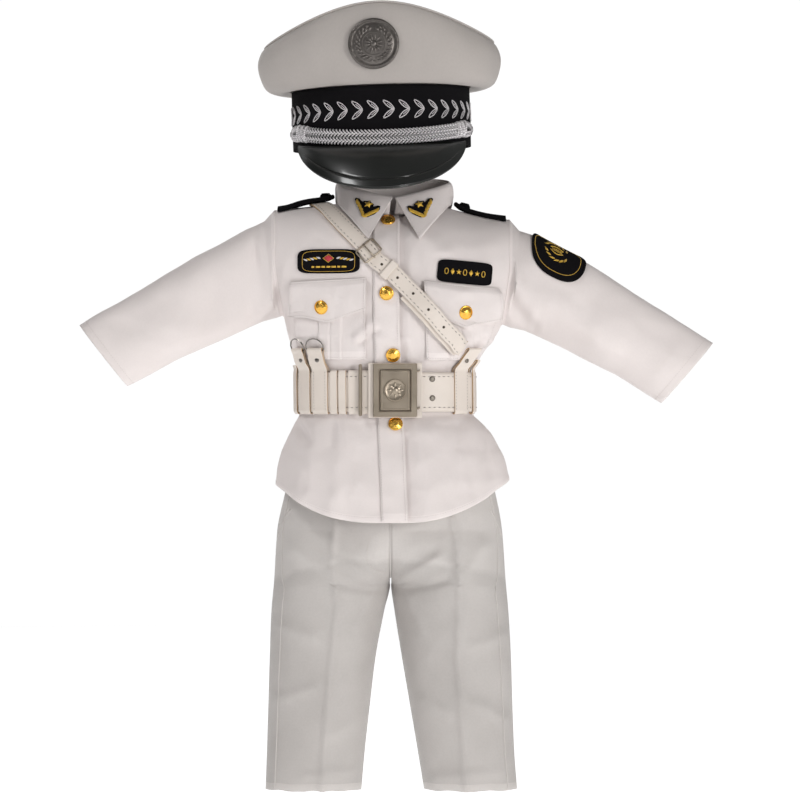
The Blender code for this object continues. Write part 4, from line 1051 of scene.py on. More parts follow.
# A point off a sleeve: along counts its sections from the first, turn is in degrees.
def sleevePoint(name, along, turn, lift):
    rows = sleeves[name]
    i = min(int(along), len(rows) - 2)
    t = along - i

    def at(k, t):
        crestX, crestZ, underX, underZ, halfDepth = rows[k]
        crest, under = Vector((crestX, 0, crestZ)), Vector((underX, 0, underZ))
        side = Vector((0, -halfDepth * math.sin(t), 0))
        return (crest + under) / 2 + (crest - under) / 2 * math.cos(t) + side

    a = math.radians(turn)
    point = at(i, a).lerp(at(i + 1, a), t)
    down = at(i + 1, a) - at(i, a)
    roundIt = at(i, a + 0.05) - at(i, a - 0.05)
    normal = down.cross(roundIt).normalized()
    if normal.dot(point - (at(i, 0) + at(i, math.pi)) / 2) < 0:
        normal = -normal
    return point + normal * lift, normal


# Creases of the sleeves: along and turn (90 faces forward) from start to end, width and height
sleeveCreases = {
    "sleeve_right": (
        (0.9, 35, 1.3, 62, 0.25, -2.0),
        (0.7, 24, 1.0, 44, 0.25, 1.6),
        (1.5, 84, 3.2, 112, 0.75, -2.6),
        (1.6, 52, 3.6, 60, 0.6, 1.6),
        (2.5, 142, 5.2, 130, 0.45, 2.4),
        (3.4, 84, 6.0, 72, 0.6, -1.5),
        (0.3, 128, 1.6, 150, 0.3, 2.2),
        (0.3, 148, 1.2, 166, 0.25, -2.0),
        (4.8, 110, 6.6, 100, 0.5, 1.4),
        (1.2, -130, 2.6, -60, 0.4, 1.8),
        (3.4, -120, 5.2, -70, 0.4, 1.8),
        (0.6, -110, 1.2, -60, 0.2, -1.6),
    ),
    "sleeve_left": (
        (0.4, 96, 1.7, 124, 0.35, 2.2),
        (0.5, 122, 1.9, 152, 0.3, -2.2),
        (2.4, 112, 4.8, 126, 0.55, 2.2),
        (3.9, 78, 6.0, 62, 0.6, -1.8),
        (4.4, 102, 6.6, 94, 0.6, 1.8),
        (2.6, 152, 5.0, 142, 0.4, -1.5),
        (1.4, -130, 2.8, -70, 0.4, 1.8),
        (3.8, -110, 5.6, -60, 0.4, 1.8),
        (0.6, -115, 1.3, -70, 0.2, -1.6),
    ),
}


def sleeveLift(name, along, turn):
    total = 0.0
    for a0, t0, a1, t1, width, height in sleeveCreases[name]:
        da, dt = a1 - a0, (t1 - t0) / 60
        away = (turn - t0) / 60
        share = ((along - a0) * da + away * dt) / (da * da + dt * dt)
        near = min(max(share, 0), 1)
        gap = math.hypot(along - a0 - da * near, away - dt * near) / width
        if gap < 3:
            total += 2.3 * height * math.exp(-gap * gap)
    return total


def sleeveAt(name, along, turn, lift=0.0):
    # along runs from 0 at the armhole's ring to 8 at the cuff
    side = -1 if name == "sleeve_right" else 1
    a = math.radians(turn)
    first = armhole(side, a)
    if along < 1:
        second = sleevePoint(name, 0, turn, 0)[0]
        point = first.lerp(second, along)
        normal = Vector((0.3 * side, -math.sin(a), math.cos(a))).normalized()
    else:
        point, normal = sleevePoint(name, min(along - 1, 6.9999), turn, 0)
    quiet = soft(along / 0.8) * soft((8 - along) / 0.5)
    if name == "sleeve_left":
        # The patch holds the cloth flat
        spin = turn if turn < 180 else turn - 360
        away = max(abs(along - 2.85) / 1.15, abs(spin - 30) / 46)
        quiet *= soft((away - 1) / 0.4)
    size = sleeveLift(name, along - 0.5, turn if turn < 180 else turn - 360)
    size += rumple((point.x, point.y, point.z), 34, 2.4) + rumple((point.z, point.x, 8), 14, 0.7)
    size *= 0.35 + 0.65 * math.sin(a) ** 2
    return point + normal * (size * quiet + lift)


def makeSleeve(name):
    crestX, crestZ, underX, underZ = sleeves[name][3][:4]
    gridPiece(
        name.replace("_r", "R").replace("_l", "L"), 84, 110,
        lambda across, up: sleeveAt(name, 8 * up, 360 * across), "jacket", [name],
        (250, 235), ((crestX + underX) / 2, 0, (crestZ + underZ) / 2), tube=True,
        thick=cloth["wall"],
    )


# Placket

placket = {
    # Height and x of its free edge, above and below
    "edges": (-122.0, 10.0, coat["hemMiddle"], 19.0),
    "wide": 27.5,
    "underlap": 27.0,
    "underlapDepth": 2.0,
}


# Where the front's free edge lies at a height.
def placketEdge(z):
    high, top, low, foot = placket["edges"]
    return top + (foot - top) * min(max((high - z) / (high - low), 0), 1)


def placketPoint(across, up, lift=0.0):
    level = coat["hemMiddle"] + (-12 - coat["hemMiddle"]) * up
    z = level + 1.5 * (1 - up)
    x = placketEdge(z) + placket["wide"] * (across - 1)
    size = clothLift(x, z) + 0.25 * noise.noise(Vector((x, z, 7)) / 20)
    return onFront(x, max(z, hem(x) + 0.8), cloth["nap"] + lift + size)


def makePlacket():
    gridPiece(
        "placketStrip", 12, 150, placketPoint, "jacket", ["placket"],
        (placket["wide"], 322), thick=1.0, grow=1,
    )


# Collar and its tabs

neckPiece = {
    "shift": 4.0,
    # Angle from the front, height of the fold, x and z of the outer edge, its lift
    "rows": (
        (1.5, 10.0, 26.5, -35.5, 5.6),
        (14, 12.5, 32.5, -29.5, 5.6),
        (30, 16.5, 41.0, -20.0, 5.4),
        (50, 21.0, 52.0, -8.0, 4.8),
        (72, 25.5, 59.0, 0.5, 3.6),
        (92, 28.5, 61.5, 4.0, 3.0),
        (115, 31.0, 58.0, -4.0, 2.6),
        (140, 33.0, 44.0, -12.0, 2.4),
        (162, 34.0, 25.0, -16.0, 2.4),
        (180, 34.3, 0.0, -17.0, 2.4),
    ),
    "standRadius": 56.0,
    "foldSpread": 1.03,  # the fold is this much wider than the neck seam
}


# The fold and the outer edge of the collar for one row of its table.
def collarRow(row, side):
    angle, foldZ, edgeX, edgeZ, lift = row
    turn = math.radians(angle)
    depth = coat["neckFront"] + (coat["neckBack"] - coat["neckFront"]) * soft(angle / 180)
    spread = neckPiece["foldSpread"]
    foldX = side * neckPiece["standRadius"] * spread * math.sin(turn) + neckPiece["shift"]
    fold = Vector((foldX, -depth * spread * math.cos(turn), foldZ))
    x = side * edgeX + neckPiece["shift"]
    z = min(edgeZ, ridge(x - 2) - droop(x, 0) - 0.6)
    edge = onFront(x, z, lift, back=angle > 91)
    if edgeZ > z:
        edge.z += (edgeZ - z) * 0.5
    return fold, edge


# Fold and edge points from the wearer's right leaf round the back to the left leaf.
def collarLines(count):
    rows = [collarRow(row, -1) for row in neckPiece["rows"]] + [
        collarRow(row, 1) for row in neckPiece["rows"][-2::-1]
    ]
    flat = [(*fold, *edge) for fold, edge in rows]
    smooth = curveThrough(flat, count)
    return [(Vector(p[:3]), Vector(p[3:])) for p in smooth]


# A point of the turned-down leaf: 0 is the fold and 1 the outer edge.
def leafPoint(fold, edge, share):
    out = Vector((fold.x - neckPiece["shift"], fold.y, 0)).normalized()
    if share <= 0:
        return fold + out * 1.2 + Vector((0, 0, 1.2))
    knee = fold + out * 5.4 + Vector((0, 0, -0.5))
    plain = fold * (1 - share) ** 2 + knee * 2 * share * (1 - share) + edge * share**2
    return plain + out * 2 * (1 - share)


# A point off the collar's leaf; along counts its lines from the tip.
def leafAt(lines, along, share, lift):
    def spot(a, t):
        return leafPoint(*rowAt(lines, a), t)

    across = spot(along + 0.1, share) - spot(along - 0.1, share)
    down = spot(along, share + 0.03) - spot(along, share - 0.03)
    normal = across.cross(down).normalized()
    if normal.y > 0:
        normal = -normal
    return spot(along, share) + normal * lift


def makeCollar():
    lines = collarLines(97)

    def place(across, up):
        fold, edge = rowAt(lines, across * 96)
        point = leafPoint(fold, edge, up)
        wave = 0.8 * math.sin(across * 19) * soft(up) * soft((1 - up) / 0.25)
        out = Vector((fold.x - neckPiece["shift"], fold.y, 0)).normalized()
        return point + out * (wave + rumple((point.x, point.y, point.z), 22, 0.8) * soft(up * 2))

    gridPiece(
        "collarLeaf", 150, 40, place, "jacket", ["collar"], (330, 46),
        (neckPiece["shift"], 0, 0), thick=cloth["wall"],
    )


def standPoint(angle, side):
    foot = neckPoint(angle, side) + Vector((0, 0, 0.7))
    foldZ = read(neckPiece["rows"], angle)[0]
    fold = collarRow((angle, foldZ, 30, -20, 0), side)[0] + Vector((0, 0, -0.6))
    return foot, fold


def makeStand():
    def place(across, up):
        turn = 3 + 354 * across
        side = -1 if turn < 180 else 1
        foot, fold = standPoint(turn if turn <= 180 else 360 - turn, side)
        return foot.lerp(fold, up)

    gridPiece(
        "collarStand", 90, 10, place, "jacket", ["collar_stand"], (330, 34),
        (neckPiece["shift"], 0, 10), thick=cloth["wall"],
    )


tabOutline = (
    (0.0, -0.92), (0.36, -0.66), (0.8, 0.0), (1.0, 0.58), (0.93, 0.86), (0.7, 0.84), (0.4, 0.42),
    (0.36, 0.74), (0.13, 0.8), (0.0, 1.0), (-0.13, 0.8), (-0.36, 0.74), (-0.4, 0.42),
    (-0.7, 0.84), (-0.93, 0.86), (-1.0, 0.58), (-0.8, 0.0), (-0.36, -0.66),
)


def shapeAt(outline, turn):
    # The point of a closed outline at a share of the way round it
    at = (turn / (2 * math.pi)) % 1 * len(outline)
    k = int(at) % len(outline)
    (ax, ay), (bx, by) = outline[k], outline[(k + 1) % len(outline)]
    t = at - int(at)
    return ax + (bx - ax) * t, ay + (by - ay) * t


def makeTabs():
    lines = collarLines(25)
    gold = bmesh.new()
    for name, side in (("collar_tab_right", -1), ("collar_tab_left", 1)):
        mine = lines if side < 0 else lines[::-1]

        def place(across, up):
            along = 0.6 + 4 * 0.64 * across
            share = 0.455 + 0.40 * up + 0.02 * abs(4 * across - 2)
            return leafAt(mine, along, share, cloth["nap"])

        def onShape(share, turn):
            a, b = shapeAt(tabOutline, turn)
            return place(0.5 + 0.5 * a * share, 0.48 - 0.48 * b * share)

        discPiece(
            name.replace("_", ""), 6, 108, onShape, "black", [name],
            (neckPiece["shift"], 0, -10),
        )

        def spot(across, up):
            point = place(across, up)
            ahead = (place(across + 0.04, up) - place(across - 0.04, up)).normalized()
            down = (place(across, up + 0.04) - place(across, up - 0.04)).normalized()
            out = ahead.cross(down).normalized()
            if out.y > 0:
                out = -out
            return point + out * 1.25, out, ahead, down

        point, out, ahead, down = spot(0.5, 0.28)
        shapeInto(gold, point, out, -down, starOutline(5.0), 0.6, 0.8)
        for lean in (-1, 1):
            for k in range(5):
                t = k / 4
                for inner in (0, 1):
                    across = 0.5 + lean * (0.05 + 0.34 * t + 0.02 * inner)
                    up = 0.84 - 0.50 * t - 0.09 * inner + 0.04
                    point, out, ahead, down = spot(across, up)
                    turn = (0.35 if inner else 1.1) - 0.1 * t
                    way = (ahead * lean * math.sin(turn) - down * math.cos(turn)).normalized()
                    leafInto(gold, point, out, way, 6.0, 3.3, 1.0)
    finished("collarTabGold", gold, "gold")


# Pockets and flaps

# The lowest and highest x, then the same of z
pockets = {
    "pocket_right": (-98.5, -25.5, -159, -88),
    "pocket_left": (37.5, 110.5, -159, -93),
}


def pocketPoint(name, across, up, lift=0.0):
    left, right, low, high = pockets[name]
    middle = (left + right) / 2
    z = low + (high - low) * up
    reach, shift = section(z, False)[:2]
    x = left + (right - left) * across
    x = min(max(x, shift - 0.92 * reach), shift + 0.92 * reach)
    rise = 1.6 * soft((12.5 - abs(x - middle)) / 1.6)
    rise -= 0.7 * math.exp(-(((x - middle) / 1.1) ** 2))
    size = clothLift(x, z) + 0.5 * abs(noise.noise(Vector((x, z, 20)) / 18))
    return onFront(x, z, cloth["nap"] + 0.4 + rise + lift + size)


def makePocket(name):
    gridPiece(
        name.replace("_", ""), 90, 50, lambda across, up: pocketPoint(name, across, up),
        "jacket", [name], (96, 74), thick=1.1, grow=1,
    )


# x and z of the two upper corners, the two lower ones and the tip
flaps = {
    "flap_right": ((-103, -78.5), (-24.5, -75), (-101.5, -114), (-25, -107.5), (-62.5, -121)),
    "flap_left": ((35, -78), (113, -85.5), (36.5, -111), (112.5, -114.5), (76.5, -126)),
}


def flapPoint(name, across, up, lift=0.0):
    topA, topB, lowA, lowB, tip = flaps[name]
    shareTip = (tip[0] - lowA[0]) / (lowB[0] - lowA[0])
    top = Vector(topA).lerp(Vector(topB), across)
    if across < shareTip:
        low = Vector(lowA).lerp(Vector(tip), across / shareTip)
    else:
        low = Vector(tip).lerp(Vector(lowB), (across - shareTip) / (1 - shareTip))
    spot = low.lerp(top, up)
    rise = cloth["nap"] + 2.8 * soft((1 - up) / 0.2)
    size = clothLift(spot.x, spot.y) + 0.8 * abs(noise.noise(Vector((spot.x, spot.y, 31)) / 19))
    return onFront(spot.x, spot.y, rise + 1.0 + lift + size)


def makeFlap(name):
    gridPiece(
        name.replace("_", ""), 64, 36, lambda across, up: flapPoint(name, across, up),
        "trim", [name], (78, 44), thick=1.3, grow=1,
    )


# Shoulder straps

straps = {
    # x and height off the shoulder, from the sleeve to the neck
    "ridges": {
        "epaulette_right": (
            (-119, 1.2), (-108, 2.0), (-96, 4.8), (-84, 6.0), (-72, 6.2), (-60.5, 7.0)
        ),
        "epaulette_left": ((122.5, 1.2), (112, 1.4), (100, 1.8), (88, 2.4), (78, 3.4), (69.5, 5.4)),
    },
    "half": 19.0,
}


def epaulettePoint(rows, along, across, lift=0.0):
    at = along * 11
    x, rise = rowAt(rows, at)
    narrow = 1 - 0.22 * at / 11 - 0.4 * soft((at - 9.5) / 2)
    return shoulderTop(x, straps["half"] * narrow * across, rise + lift)


def makeEpaulette(name):
    rows = curveThrough(straps["ridges"][name], 12)
    edge = bmesh.new()
    around = [(k / 40, -1) for k in range(1, 40)] + [(0.99, k / 8 - 1) for k in range(17)]
    around += [(k / 40, 1) for k in range(39, 0, -1)]
    rodInto(edge, [epaulettePoint(rows, a, b * 0.97, 1.4) for a, b in around], 2.1, 10)
    finished(name.replace("_", "") + "Edge", edge, "black")
    gridPiece(
        name.replace("_", ""), 60, 30,
        lambda a, b: epaulettePoint(rows, a, 2 * b - 1, 0.8 * math.cos(math.pi * (b - 0.5))),
        "black", [name], (62, 38), thick=2.0, grow=1,
    )


# Patches

namePatch = dict(middle=(-64, -57.5), halfX=32.5, halfZ=12.5, tilt=0, squareness=5)
rankPatch = dict(middle=(78, -69), halfX=28.5, halfZ=11.8, tilt=-5, squareness=7)


def patchPlace(patch, dx, dz):
    lean = math.radians(patch["tilt"])
    x = patch["middle"][0] + dx * math.cos(lean) - dz * math.sin(lean)
    return x, patch["middle"][1] + dx * math.sin(lean) + dz * math.cos(lean)


def patchPoint(patch, share, turn, lift):
    # A point of a patch's outline, or of that outline at a share of its size
    c, d, corner = math.cos(turn), math.sin(turn), patch["squareness"]
    size = (abs(c) ** corner + abs(d) ** corner) ** (-1 / corner) * share
    return onFront(*patchPlace(patch, patch["halfX"] * c * size, patch["halfZ"] * d * size), lift)


def patchSpot(patch, dx, dz, lift):
    lean = math.radians(patch["tilt"])
    x, z = patchPlace(patch, dx, dz)
    spot = onFront(x, z, lift)
    normal = faceNormal(x, z, False)
    way = (onFront(x + math.cos(lean), z + math.sin(lean), lift) - spot).normalized()
    up = normal.cross(way).normalized()
    if up.z < 0:
        up = -up
    return spot, normal, way, up


def borderInto(bm, place, share, radius, count=96):
    # A raised satin-stitch border along a patch's outline
    line = [place(share, 2 * math.pi * k / count) for k in range(count)]
    rodInto(bm, line, radius, 8, True, 0.8)


def makePatches():
    for name, patch, node in (
        ("namePatchBase", namePatch, "name_patch"),
        ("rankPatchBase", rankPatch, "rank_patch"),
    ):
        discPiece(
            name, 10, 96, lambda share, turn: patchPoint(patch, share, turn, cloth["nap"]), "black",
            [node], (0, 0, -180),
        )
    gold, red, silver = bmesh.new(), bmesh.new(), bmesh.new()
    edge = bmesh.new()
    for patch in (namePatch, rankPatch):
        borderInto(
            edge, lambda share, turn: patchPoint(patch, share, turn, cloth["nap"] + 1.0), 0.955, 0.8
        )
    borderInto(
        gold, lambda share, turn: patchPoint(namePatch, share, turn, cloth["nap"] + 1.2), 0.84, 0.3
    )
    finished("patchEdges", edge, "black")
    wingShape(gold, silver, red)
    motifRow(gold)
    finished("patchGold", gold, "gold")
    finished("patchRed", red, "red")
    finished("patchSilver", silver, "silver")


def wingShape(gold, silver, red):
    # Plain ornament in the place of the badge: a lozenge between two fans of feather strokes
    spot, normal, way, up = patchSpot(namePatch, 0, 3.2, cloth["nap"] + 1.2)
    lozenge = [(5.2 * math.cos(a), 3.6 * math.sin(a)) for a in (0, math.pi / 2, math.pi, 4.712)]
    shapeInto(red, spot, normal, way, lozenge, 0.5, 0.5)
    ring = ringOf(spot + normal * 0.4, way, 5.9, up, 4.3, 4)
    rodInto(gold, ring, 0.45, 6, True)
    for side in (-1, 1):
        for k in range(5):
            dx, dz = side * (10.5 + 3.4 * k), 4.6 - 0.5 * k
            place, out, along, high = patchSpot(namePatch, dx, dz - 0.9, cloth["nap"] + 1.2)
            lean = (along * side + high * 0.35).normalized()
            leafInto(gold if k % 2 else silver, place, out, lean, 5.6, 1.9, 0.6)
    for k, wide in enumerate((3, 5, 4, 4, 5, 3, 5)):
        dx = -16.2 + 5.4 * k
        place, out, along, high = patchSpot(namePatch, dx, -5.6, cloth["nap"] + 1.2)
        bar = [(-wide / 2, -0.9), (wide / 2, -0.9), (wide / 2, 0.9), (-wide / 2, 0.9)]
        shapeInto(gold, place, out, along, bar, 0.5, 0.2)


def motifRow(gold):
    # A row of small shapes: rings, lozenges and stars
    for k in range(7):
        dx = -19.2 + 6.4 * k
        place, out, along, high = patchSpot(rankPatch, dx, 0, cloth["nap"] + 1.2)
        if k % 3 == 0:
            ring = ringOf(place + out * 0.3, along, 1.9, high, 3.0, 16)
            rodInto(gold, ring, 0.5, 6, True)
        elif k % 3 == 1:
            shape = [(2.2, 0), (0, 3.4), (-2.2, 0), (0, -3.4)]
            shapeInto(gold, place, out, along, shape, 0.5, 0.3)
        else:
            shapeInto(gold, place, out, high, starOutline(3.1), 0.5, 0.3)


def sleevePatchPoint(share, turn, lift=cloth["nap"] + 0.3):
    c, d = math.cos(turn), math.sin(turn)
    size = (abs(c) ** 2.6 + abs(d) ** 2.6) ** (-1 / 2.6) * share
    return sleevePoint("sleeve_left", 1.85 + 1.05 * c * size, 30.0 + 42.0 * d * size, lift)[0]


def makeSleevePatch():
    under = sleevePoint("sleeve_left", 1.85, 30, -30)[0]
    discPiece(
        "sleevePatchBase", 12, 72, sleevePatchPoint, "black", ["sleeve_patch"], under,
    )
    gold = bmesh.new()
    edge = bmesh.new()
    borderInto(
        edge, lambda share, turn: sleevePatchPoint(share, turn, cloth["nap"] + 1.4), 0.95, 0.9, 72
    )
    finished("sleevePatchEdge", edge, "black")
    borderInto(
        gold, lambda share, turn: sleevePatchPoint(share, turn, cloth["nap"] + 1.5), 0.82, 0.4, 72
    )

    def spot(a, b):
        along = 1.85 + a / 31
        turn = 30 + b * 1.32
        lift = cloth["nap"] + 1.5
        place, out = sleevePoint("sleeve_left", along, turn, lift)
        ahead = sleevePoint("sleeve_left", along + 0.05, turn, lift)[0] - place
        ahead.normalize()
        return place, out, ahead, ahead.cross(out).normalized()

    for side in (-1, 1):
        for k in range(6):
            a = math.radians(38 + 24 * k)
            place, out, ahead, cross = spot(13.5 * math.cos(a), side * 13.5 * math.sin(a))
            lean = (ahead * math.cos(a + 1.1) + cross * side * math.sin(a + 1.1)).normalized()
            leafInto(gold, place, out, lean, 7.0, 2.6, 0.8)
        arm = []
        for k in range(7):
            t = k / 6
            place, out, ahead, cross = spot(-8 + 15 * t, side * (2.2 + 3.6 * math.sin(3.0 * t)))
            arm.append(place + out * 0.3)
        rodInto(gold, arm, 0.6, 6)
    for b in (-1.6, 0, 1.6):
        line = [spot(-6 + 4 * k, b)[0] + spot(-6 + 4 * k, b)[1] * 0.2 for k in range(4)]
        rodInto(gold, line, 0.3, 5)
    finished("sleevePatchGold", gold, "gold")


# Trousers

legs = {
    "crotch": -398.0,
    "foot": -616.0,
    # Height, the right leg's outer and inner x, the left leg's inner and outer x, half depth
    "rows": (
        (-616, -132.5, -30.5, 36.0, 135.0, 33),
        (-576, -131.0, -27.0, 29.5, 132.0, 35),
        (-526, -129.5, -21.5, 21.0, 130.0, 39),
        (-476, -128.0, -15.5, 12.5, 128.5, 44),
        (-425, -126.0, -6.0, 4.5, 125.5, 52),
        (-398, -123.5, 0.0, 1.0, 123.0, 57),
        (-342, -120.0, 0.5, 0.5, 119.0, 63),
        (-303, -112.0, 0.5, 0.5, 112.0, 63),
        (-250, -98.0, -1.5, -1.5, 95.0, 60),
        (-214, -90.0, -4.0, -4.0, 82.0, 56),
    ),
    "top": -214.5,
    "waistTop": -184.0,
    "roundness": 1.9,
    # Creases on the trousers: from x and z to x and z, half width, and height
    "pressed": (
        (-58, -328, -62, -380, 5.0, 5.6),
        (-62, -380, -55, -420, 5.0, 5.6),
        (-55, -420, -61, -470, 5.0, 5.6),
        (-61, -470, -67, -533, 5.0, 5.6),
        (-67, -533, -72, -620, 5.0, 5.6),
        (65, -326, 71, -356, 5.0, 5.6),
        (71, -356, 73, -416, 5.0, 5.6),
        (73, -416, 71, -476, 5.0, 5.6),
        (71, -476, 76, -544, 5.0, 5.6),
        (76, -544, 80, -620, 5.0, 5.6),
    ),
    "creases": (
        (-8, -396, -52, -372, 6.0, 3.5),
        (-8, -404, -60, -396, 5.0, -2.9),
        (6, -394, 50, -368, 6.0, 3.2),
        (8, -404, 58, -392, 5.0, -2.6),
        (-10, -398, -34, -440, 6.0, 2.9),
        (10, -398, 34, -446, 6.0, 2.9),
        (-118, -440, -80, -452, 8.0, 2.9),
        (-122, -520, -80, -506, 8.0, 2.6),
        (-34, -540, -60, -556, 8.0, 2.6),
        (124, -450, 90, -462, 8.0, 2.9),
        (122, -540, 92, -524, 8.0, 2.6),
        (38, -520, 60, -534, 8.0, 2.6),
        (-100, -360, -70, -378, 8.0, 2.6),
        (100, -356, 84, -380, 8.0, 2.6),
        (-90, -600, -40, -596, 7.0, 1.9),
        (50, -602, 110, -596, 7.0, 1.9),
    ),
}


# Outer edge, inner edge and half depth of one leg at a height.
def legSection(z, side):
    rightOut, rightIn, leftIn, leftOut, depth = read(legs["rows"], z)
    return (rightOut, rightIn, depth) if side < 0 else (leftOut, leftIn, depth)


# How far in front of the crotch the centre seam lies; it curves under at the crotch.
def riseDepth(z, depth):
    if z <= legs["crotch"]:
        return 0.0
    curve = 58.0
    share = min((z - legs["crotch"]) / curve, 1)
    return depth * math.sqrt(1 - (1 - share) ** 2)


# How far up a leg's panel a height is, from 0 to 1.
def legShare(z):
    return (z - legs["foot"]) / (legs["top"] - legs["foot"])


def legPoint(side, back, across, up, lift=0.0):
    z = legs["foot"] + (legs["top"] - legs["foot"]) * up
    outer, inner, depth = legSection(z, side)
    gap = cloth["seam"] * 1.8
    inset = max(riseDepth(z, depth), 0)
    turnIn = math.acos(min((inset / depth) ** (legs["roundness"] / 2), 1))
    k = abs(math.sin(turnIn)) ** (2 / legs["roundness"])
    wide = abs(outer - inner) / (1 + k)
    middle = inner + side * wide * k
    turn = -turnIn + (math.pi / 2 + turnIn) * across
    s, q = math.sin(turn), max(math.cos(turn), 0)
    x = middle + side * wide * math.copysign(abs(s) ** (2 / legs["roundness"]), s)
    y = depth * q ** (2 / legs["roundness"])
    if z > legs["crotch"] and side * (x - inner) < gap:
        x = inner + side * gap
    away = min(across, 1 - across)
    quiet = soft(away * 9) * soft((legs["top"] - 14 - z) / 30)
    size = creases(legs["creases"], x, z)
    size += creases(legs["pressed"], x, z, True) * (0.8 if back else 1.0)
    size += rumple((x, z, 55 if back else 12), 24, 1.3) + rumple((x * 1.5, z, 3), 9, 0.35)
    y = max(y + (size + lift) * quiet * min(q * 1.6, 1), gap)
    hemmed = legs["foot"] + 20 - z
    if hemmed > 0:
        z += rumple((x, 40 if back else 4, side * 30), 12, 1.4) * soft(hemmed / 20)
    return Vector((x, y if back else -y, z))


def makeTrousers():
    for side, part in ((-1, "right"), (1, "left")):
        for back in (False, True):
            node = f"trouser_{'back' if back else 'front'}_{part}"
            outer, inner = legSection(-450, side)[:2]
            gridPiece(
                node.replace("_", ""), 54, 170,
                lambda across, up, s=side, b=back: legPoint(s, b, across, up), "trouser", [node],
                (165, 415), ((outer + inner) / 2, 0, -420), thick=cloth["wall"],
            )
    lift = -cloth["wall"] - placket["underlapDepth"] - 0.7

    def waist(across, up):
        z = legs["top"] + 0.8 + (legs["waistTop"] - legs["top"] - 0.8) * up
        return roundPoint(360 * across, z, lift)[0]

    gridPiece(
        "waistbandStrip", 120, 8, waist, "trouser", ["waistband"], (510, 30), (-5, 0, -200),
        tube=True, thick=1.6,
    )


# Belt, hangers, studs and buckle

belt = {
    "leather": 1.2,  # thickness of the hangers and keepers
    "top": -173.5,
    "bottom": -215.0,
    "lift": 2.4,  # the belt's inner face stands this far off the jacket
    "thick": 2.4,
    "ends": (-4.0, 10.0),  # degrees from the front middle where the belt stops under the buckle
    "studHeight": -162.0,
    "ringPivot": -150.5,
    "ringLift": 6.1,
    # x of the loops that hold the rings and the cross strap
    "hangers": {"hanger_1": -91.0, "hanger_2": -74.5, "strap_hanger": 75.5},
    "hangerHalf": 9.4,
    # x, half width and upper edge of the plain loops
    "keepers": {
        "side_hanger": (-101.0, 8.5, -166.0),
        "belt_keeper_1": (-59.5, 3.9, -172.0),
        "belt_keeper_2": (-50.5, 3.9, -172.0),
        "belt_end": (-33.0, 11.2, -172.0),
    },
    "buckleY": -73.0,
}

# Lifts of the middle of the loops' leather, outside and behind the belt
outerLift = belt["lift"] + belt["thick"] + 0.6 + belt["leather"] / 2
innerLift = belt["lift"] - 0.6 - belt["leather"] / 2


# The angle round the belt at which a point off it is seen at x from the front.
def angleSeen(x, lift):
    low, high = -90.0, 90.0
    for halving in range(30):
        angle = (low + high) / 2
        if roundPoint(angle, belt["top"], lift)[0].x < x:
            low = angle
        else:
            high = angle
    return angle


def makeBelt():
    first, last = belt["ends"]

    def place(across, up):
        angle = last + (360 + first - last) * across
        z = belt["bottom"] + (belt["top"] - belt["bottom"]) * up
        bulge = 0.35 * math.sin(math.pi * up)
        return roundPoint(angle, z, belt["lift"] + bulge)[0]

    gridPiece(
        "beltStrip", 200, 12, place, "leather", ["belt"], (560, 41.5), (-5, 0, -194),
        thick=belt["thick"], grow=1,
    )


def loopPiece(name, middle, half, line, nodes, rows):
    # A leather loop round the belt: line holds its lift, height and flatness
    angle = angleSeen(middle, outerLift)
    step = roundPoint(angle + 0.5, belt["top"], 3)[0] - roundPoint(angle - 0.5, belt["top"], 3)[0]
    turn = half / step.length
    closed = line + [line[0]]
    lengths = [0.0]
    for a, b in zip(closed, closed[1:]):
        lengths.append(lengths[-1] + math.hypot(a[0] - b[0], a[1] - b[1]))

    def place(across, up):
        at = up * lengths[-1] * 0.999999
        i = max(k for k in range(len(lengths)) if lengths[k] <= at)
        i = min(i, len(closed) - 2)
        t = (at - lengths[i]) / (lengths[i + 1] - lengths[i])
        lift, z, flat = (a + (b - a) * t for a, b in zip(closed[i], closed[i + 1]))
        spot, normal = roundPoint(angle, z, lift)
        bar = Vector((-normal.y, normal.x, 0))
        share = across * 2 - 1
        bent = roundPoint(angle + share * turn, z, lift)[0]
        return bent.lerp(spot + bar * share * half, flat)

    inside = roundPoint(angle, -190, belt["lift"])[0]
    piece = gridPiece(
        name, 8, rows, place, "leather", nodes, (half * 2, lengths[-1]), tuple(inside),
        tube=True, thick=belt["leather"], grow=0,
    )
    edge = piece.modifiers.new("edge", "BEVEL")
    edge.width = 0.3 * mm
    edge.segments = 2


def hangerLine():
    mouth = 2.2
    half = (outerLift + innerLift) / 2
    line = [
        (outerLift, belt["bottom"] + 1, 0),
        (half + 1.2, belt["bottom"] - 2.0, 0),
        (half - 1.2, belt["bottom"] - 2.0, 0),
        (innerLift, belt["bottom"] + 1, 0),
        (innerLift, belt["top"] + 0.5, 0),
        (belt["ringLift"] - 1.0, belt["studHeight"] - 2, 0.6),
        (belt["ringLift"] - 0.9, belt["ringPivot"] - 4.4, 1),
    ]
    for degrees in range(212, -60, -17):
        a = math.radians(degrees)
        line.append(
            (belt["ringLift"] + mouth * math.cos(a), belt["ringPivot"] + mouth * math.sin(a), 1)
        )
    return line + [
        (belt["ringLift"] + 0.9, belt["ringPivot"] - 4.4, 1),
        (belt["ringLift"] + 0.8, belt["studHeight"] - 2, 0.6),
        (outerLift, belt["top"] + 0.5, 0),
    ]


def keeperLine(top):
    half = (outerLift + innerLift) / 2
    return [
        (outerLift, belt["bottom"] + 1, 0),
        (half + 1.2, belt["bottom"] - 2.0, 0),
        (half - 1.2, belt["bottom"] - 2.0, 0),
        (innerLift, belt["bottom"] + 1, 0),
        (innerLift, belt["top"] - 1, 0),
        (half - 1.2, top, 0),
        (half + 1.2, top, 0),
        (outerLift, belt["top"] - 1, 0),
    ]


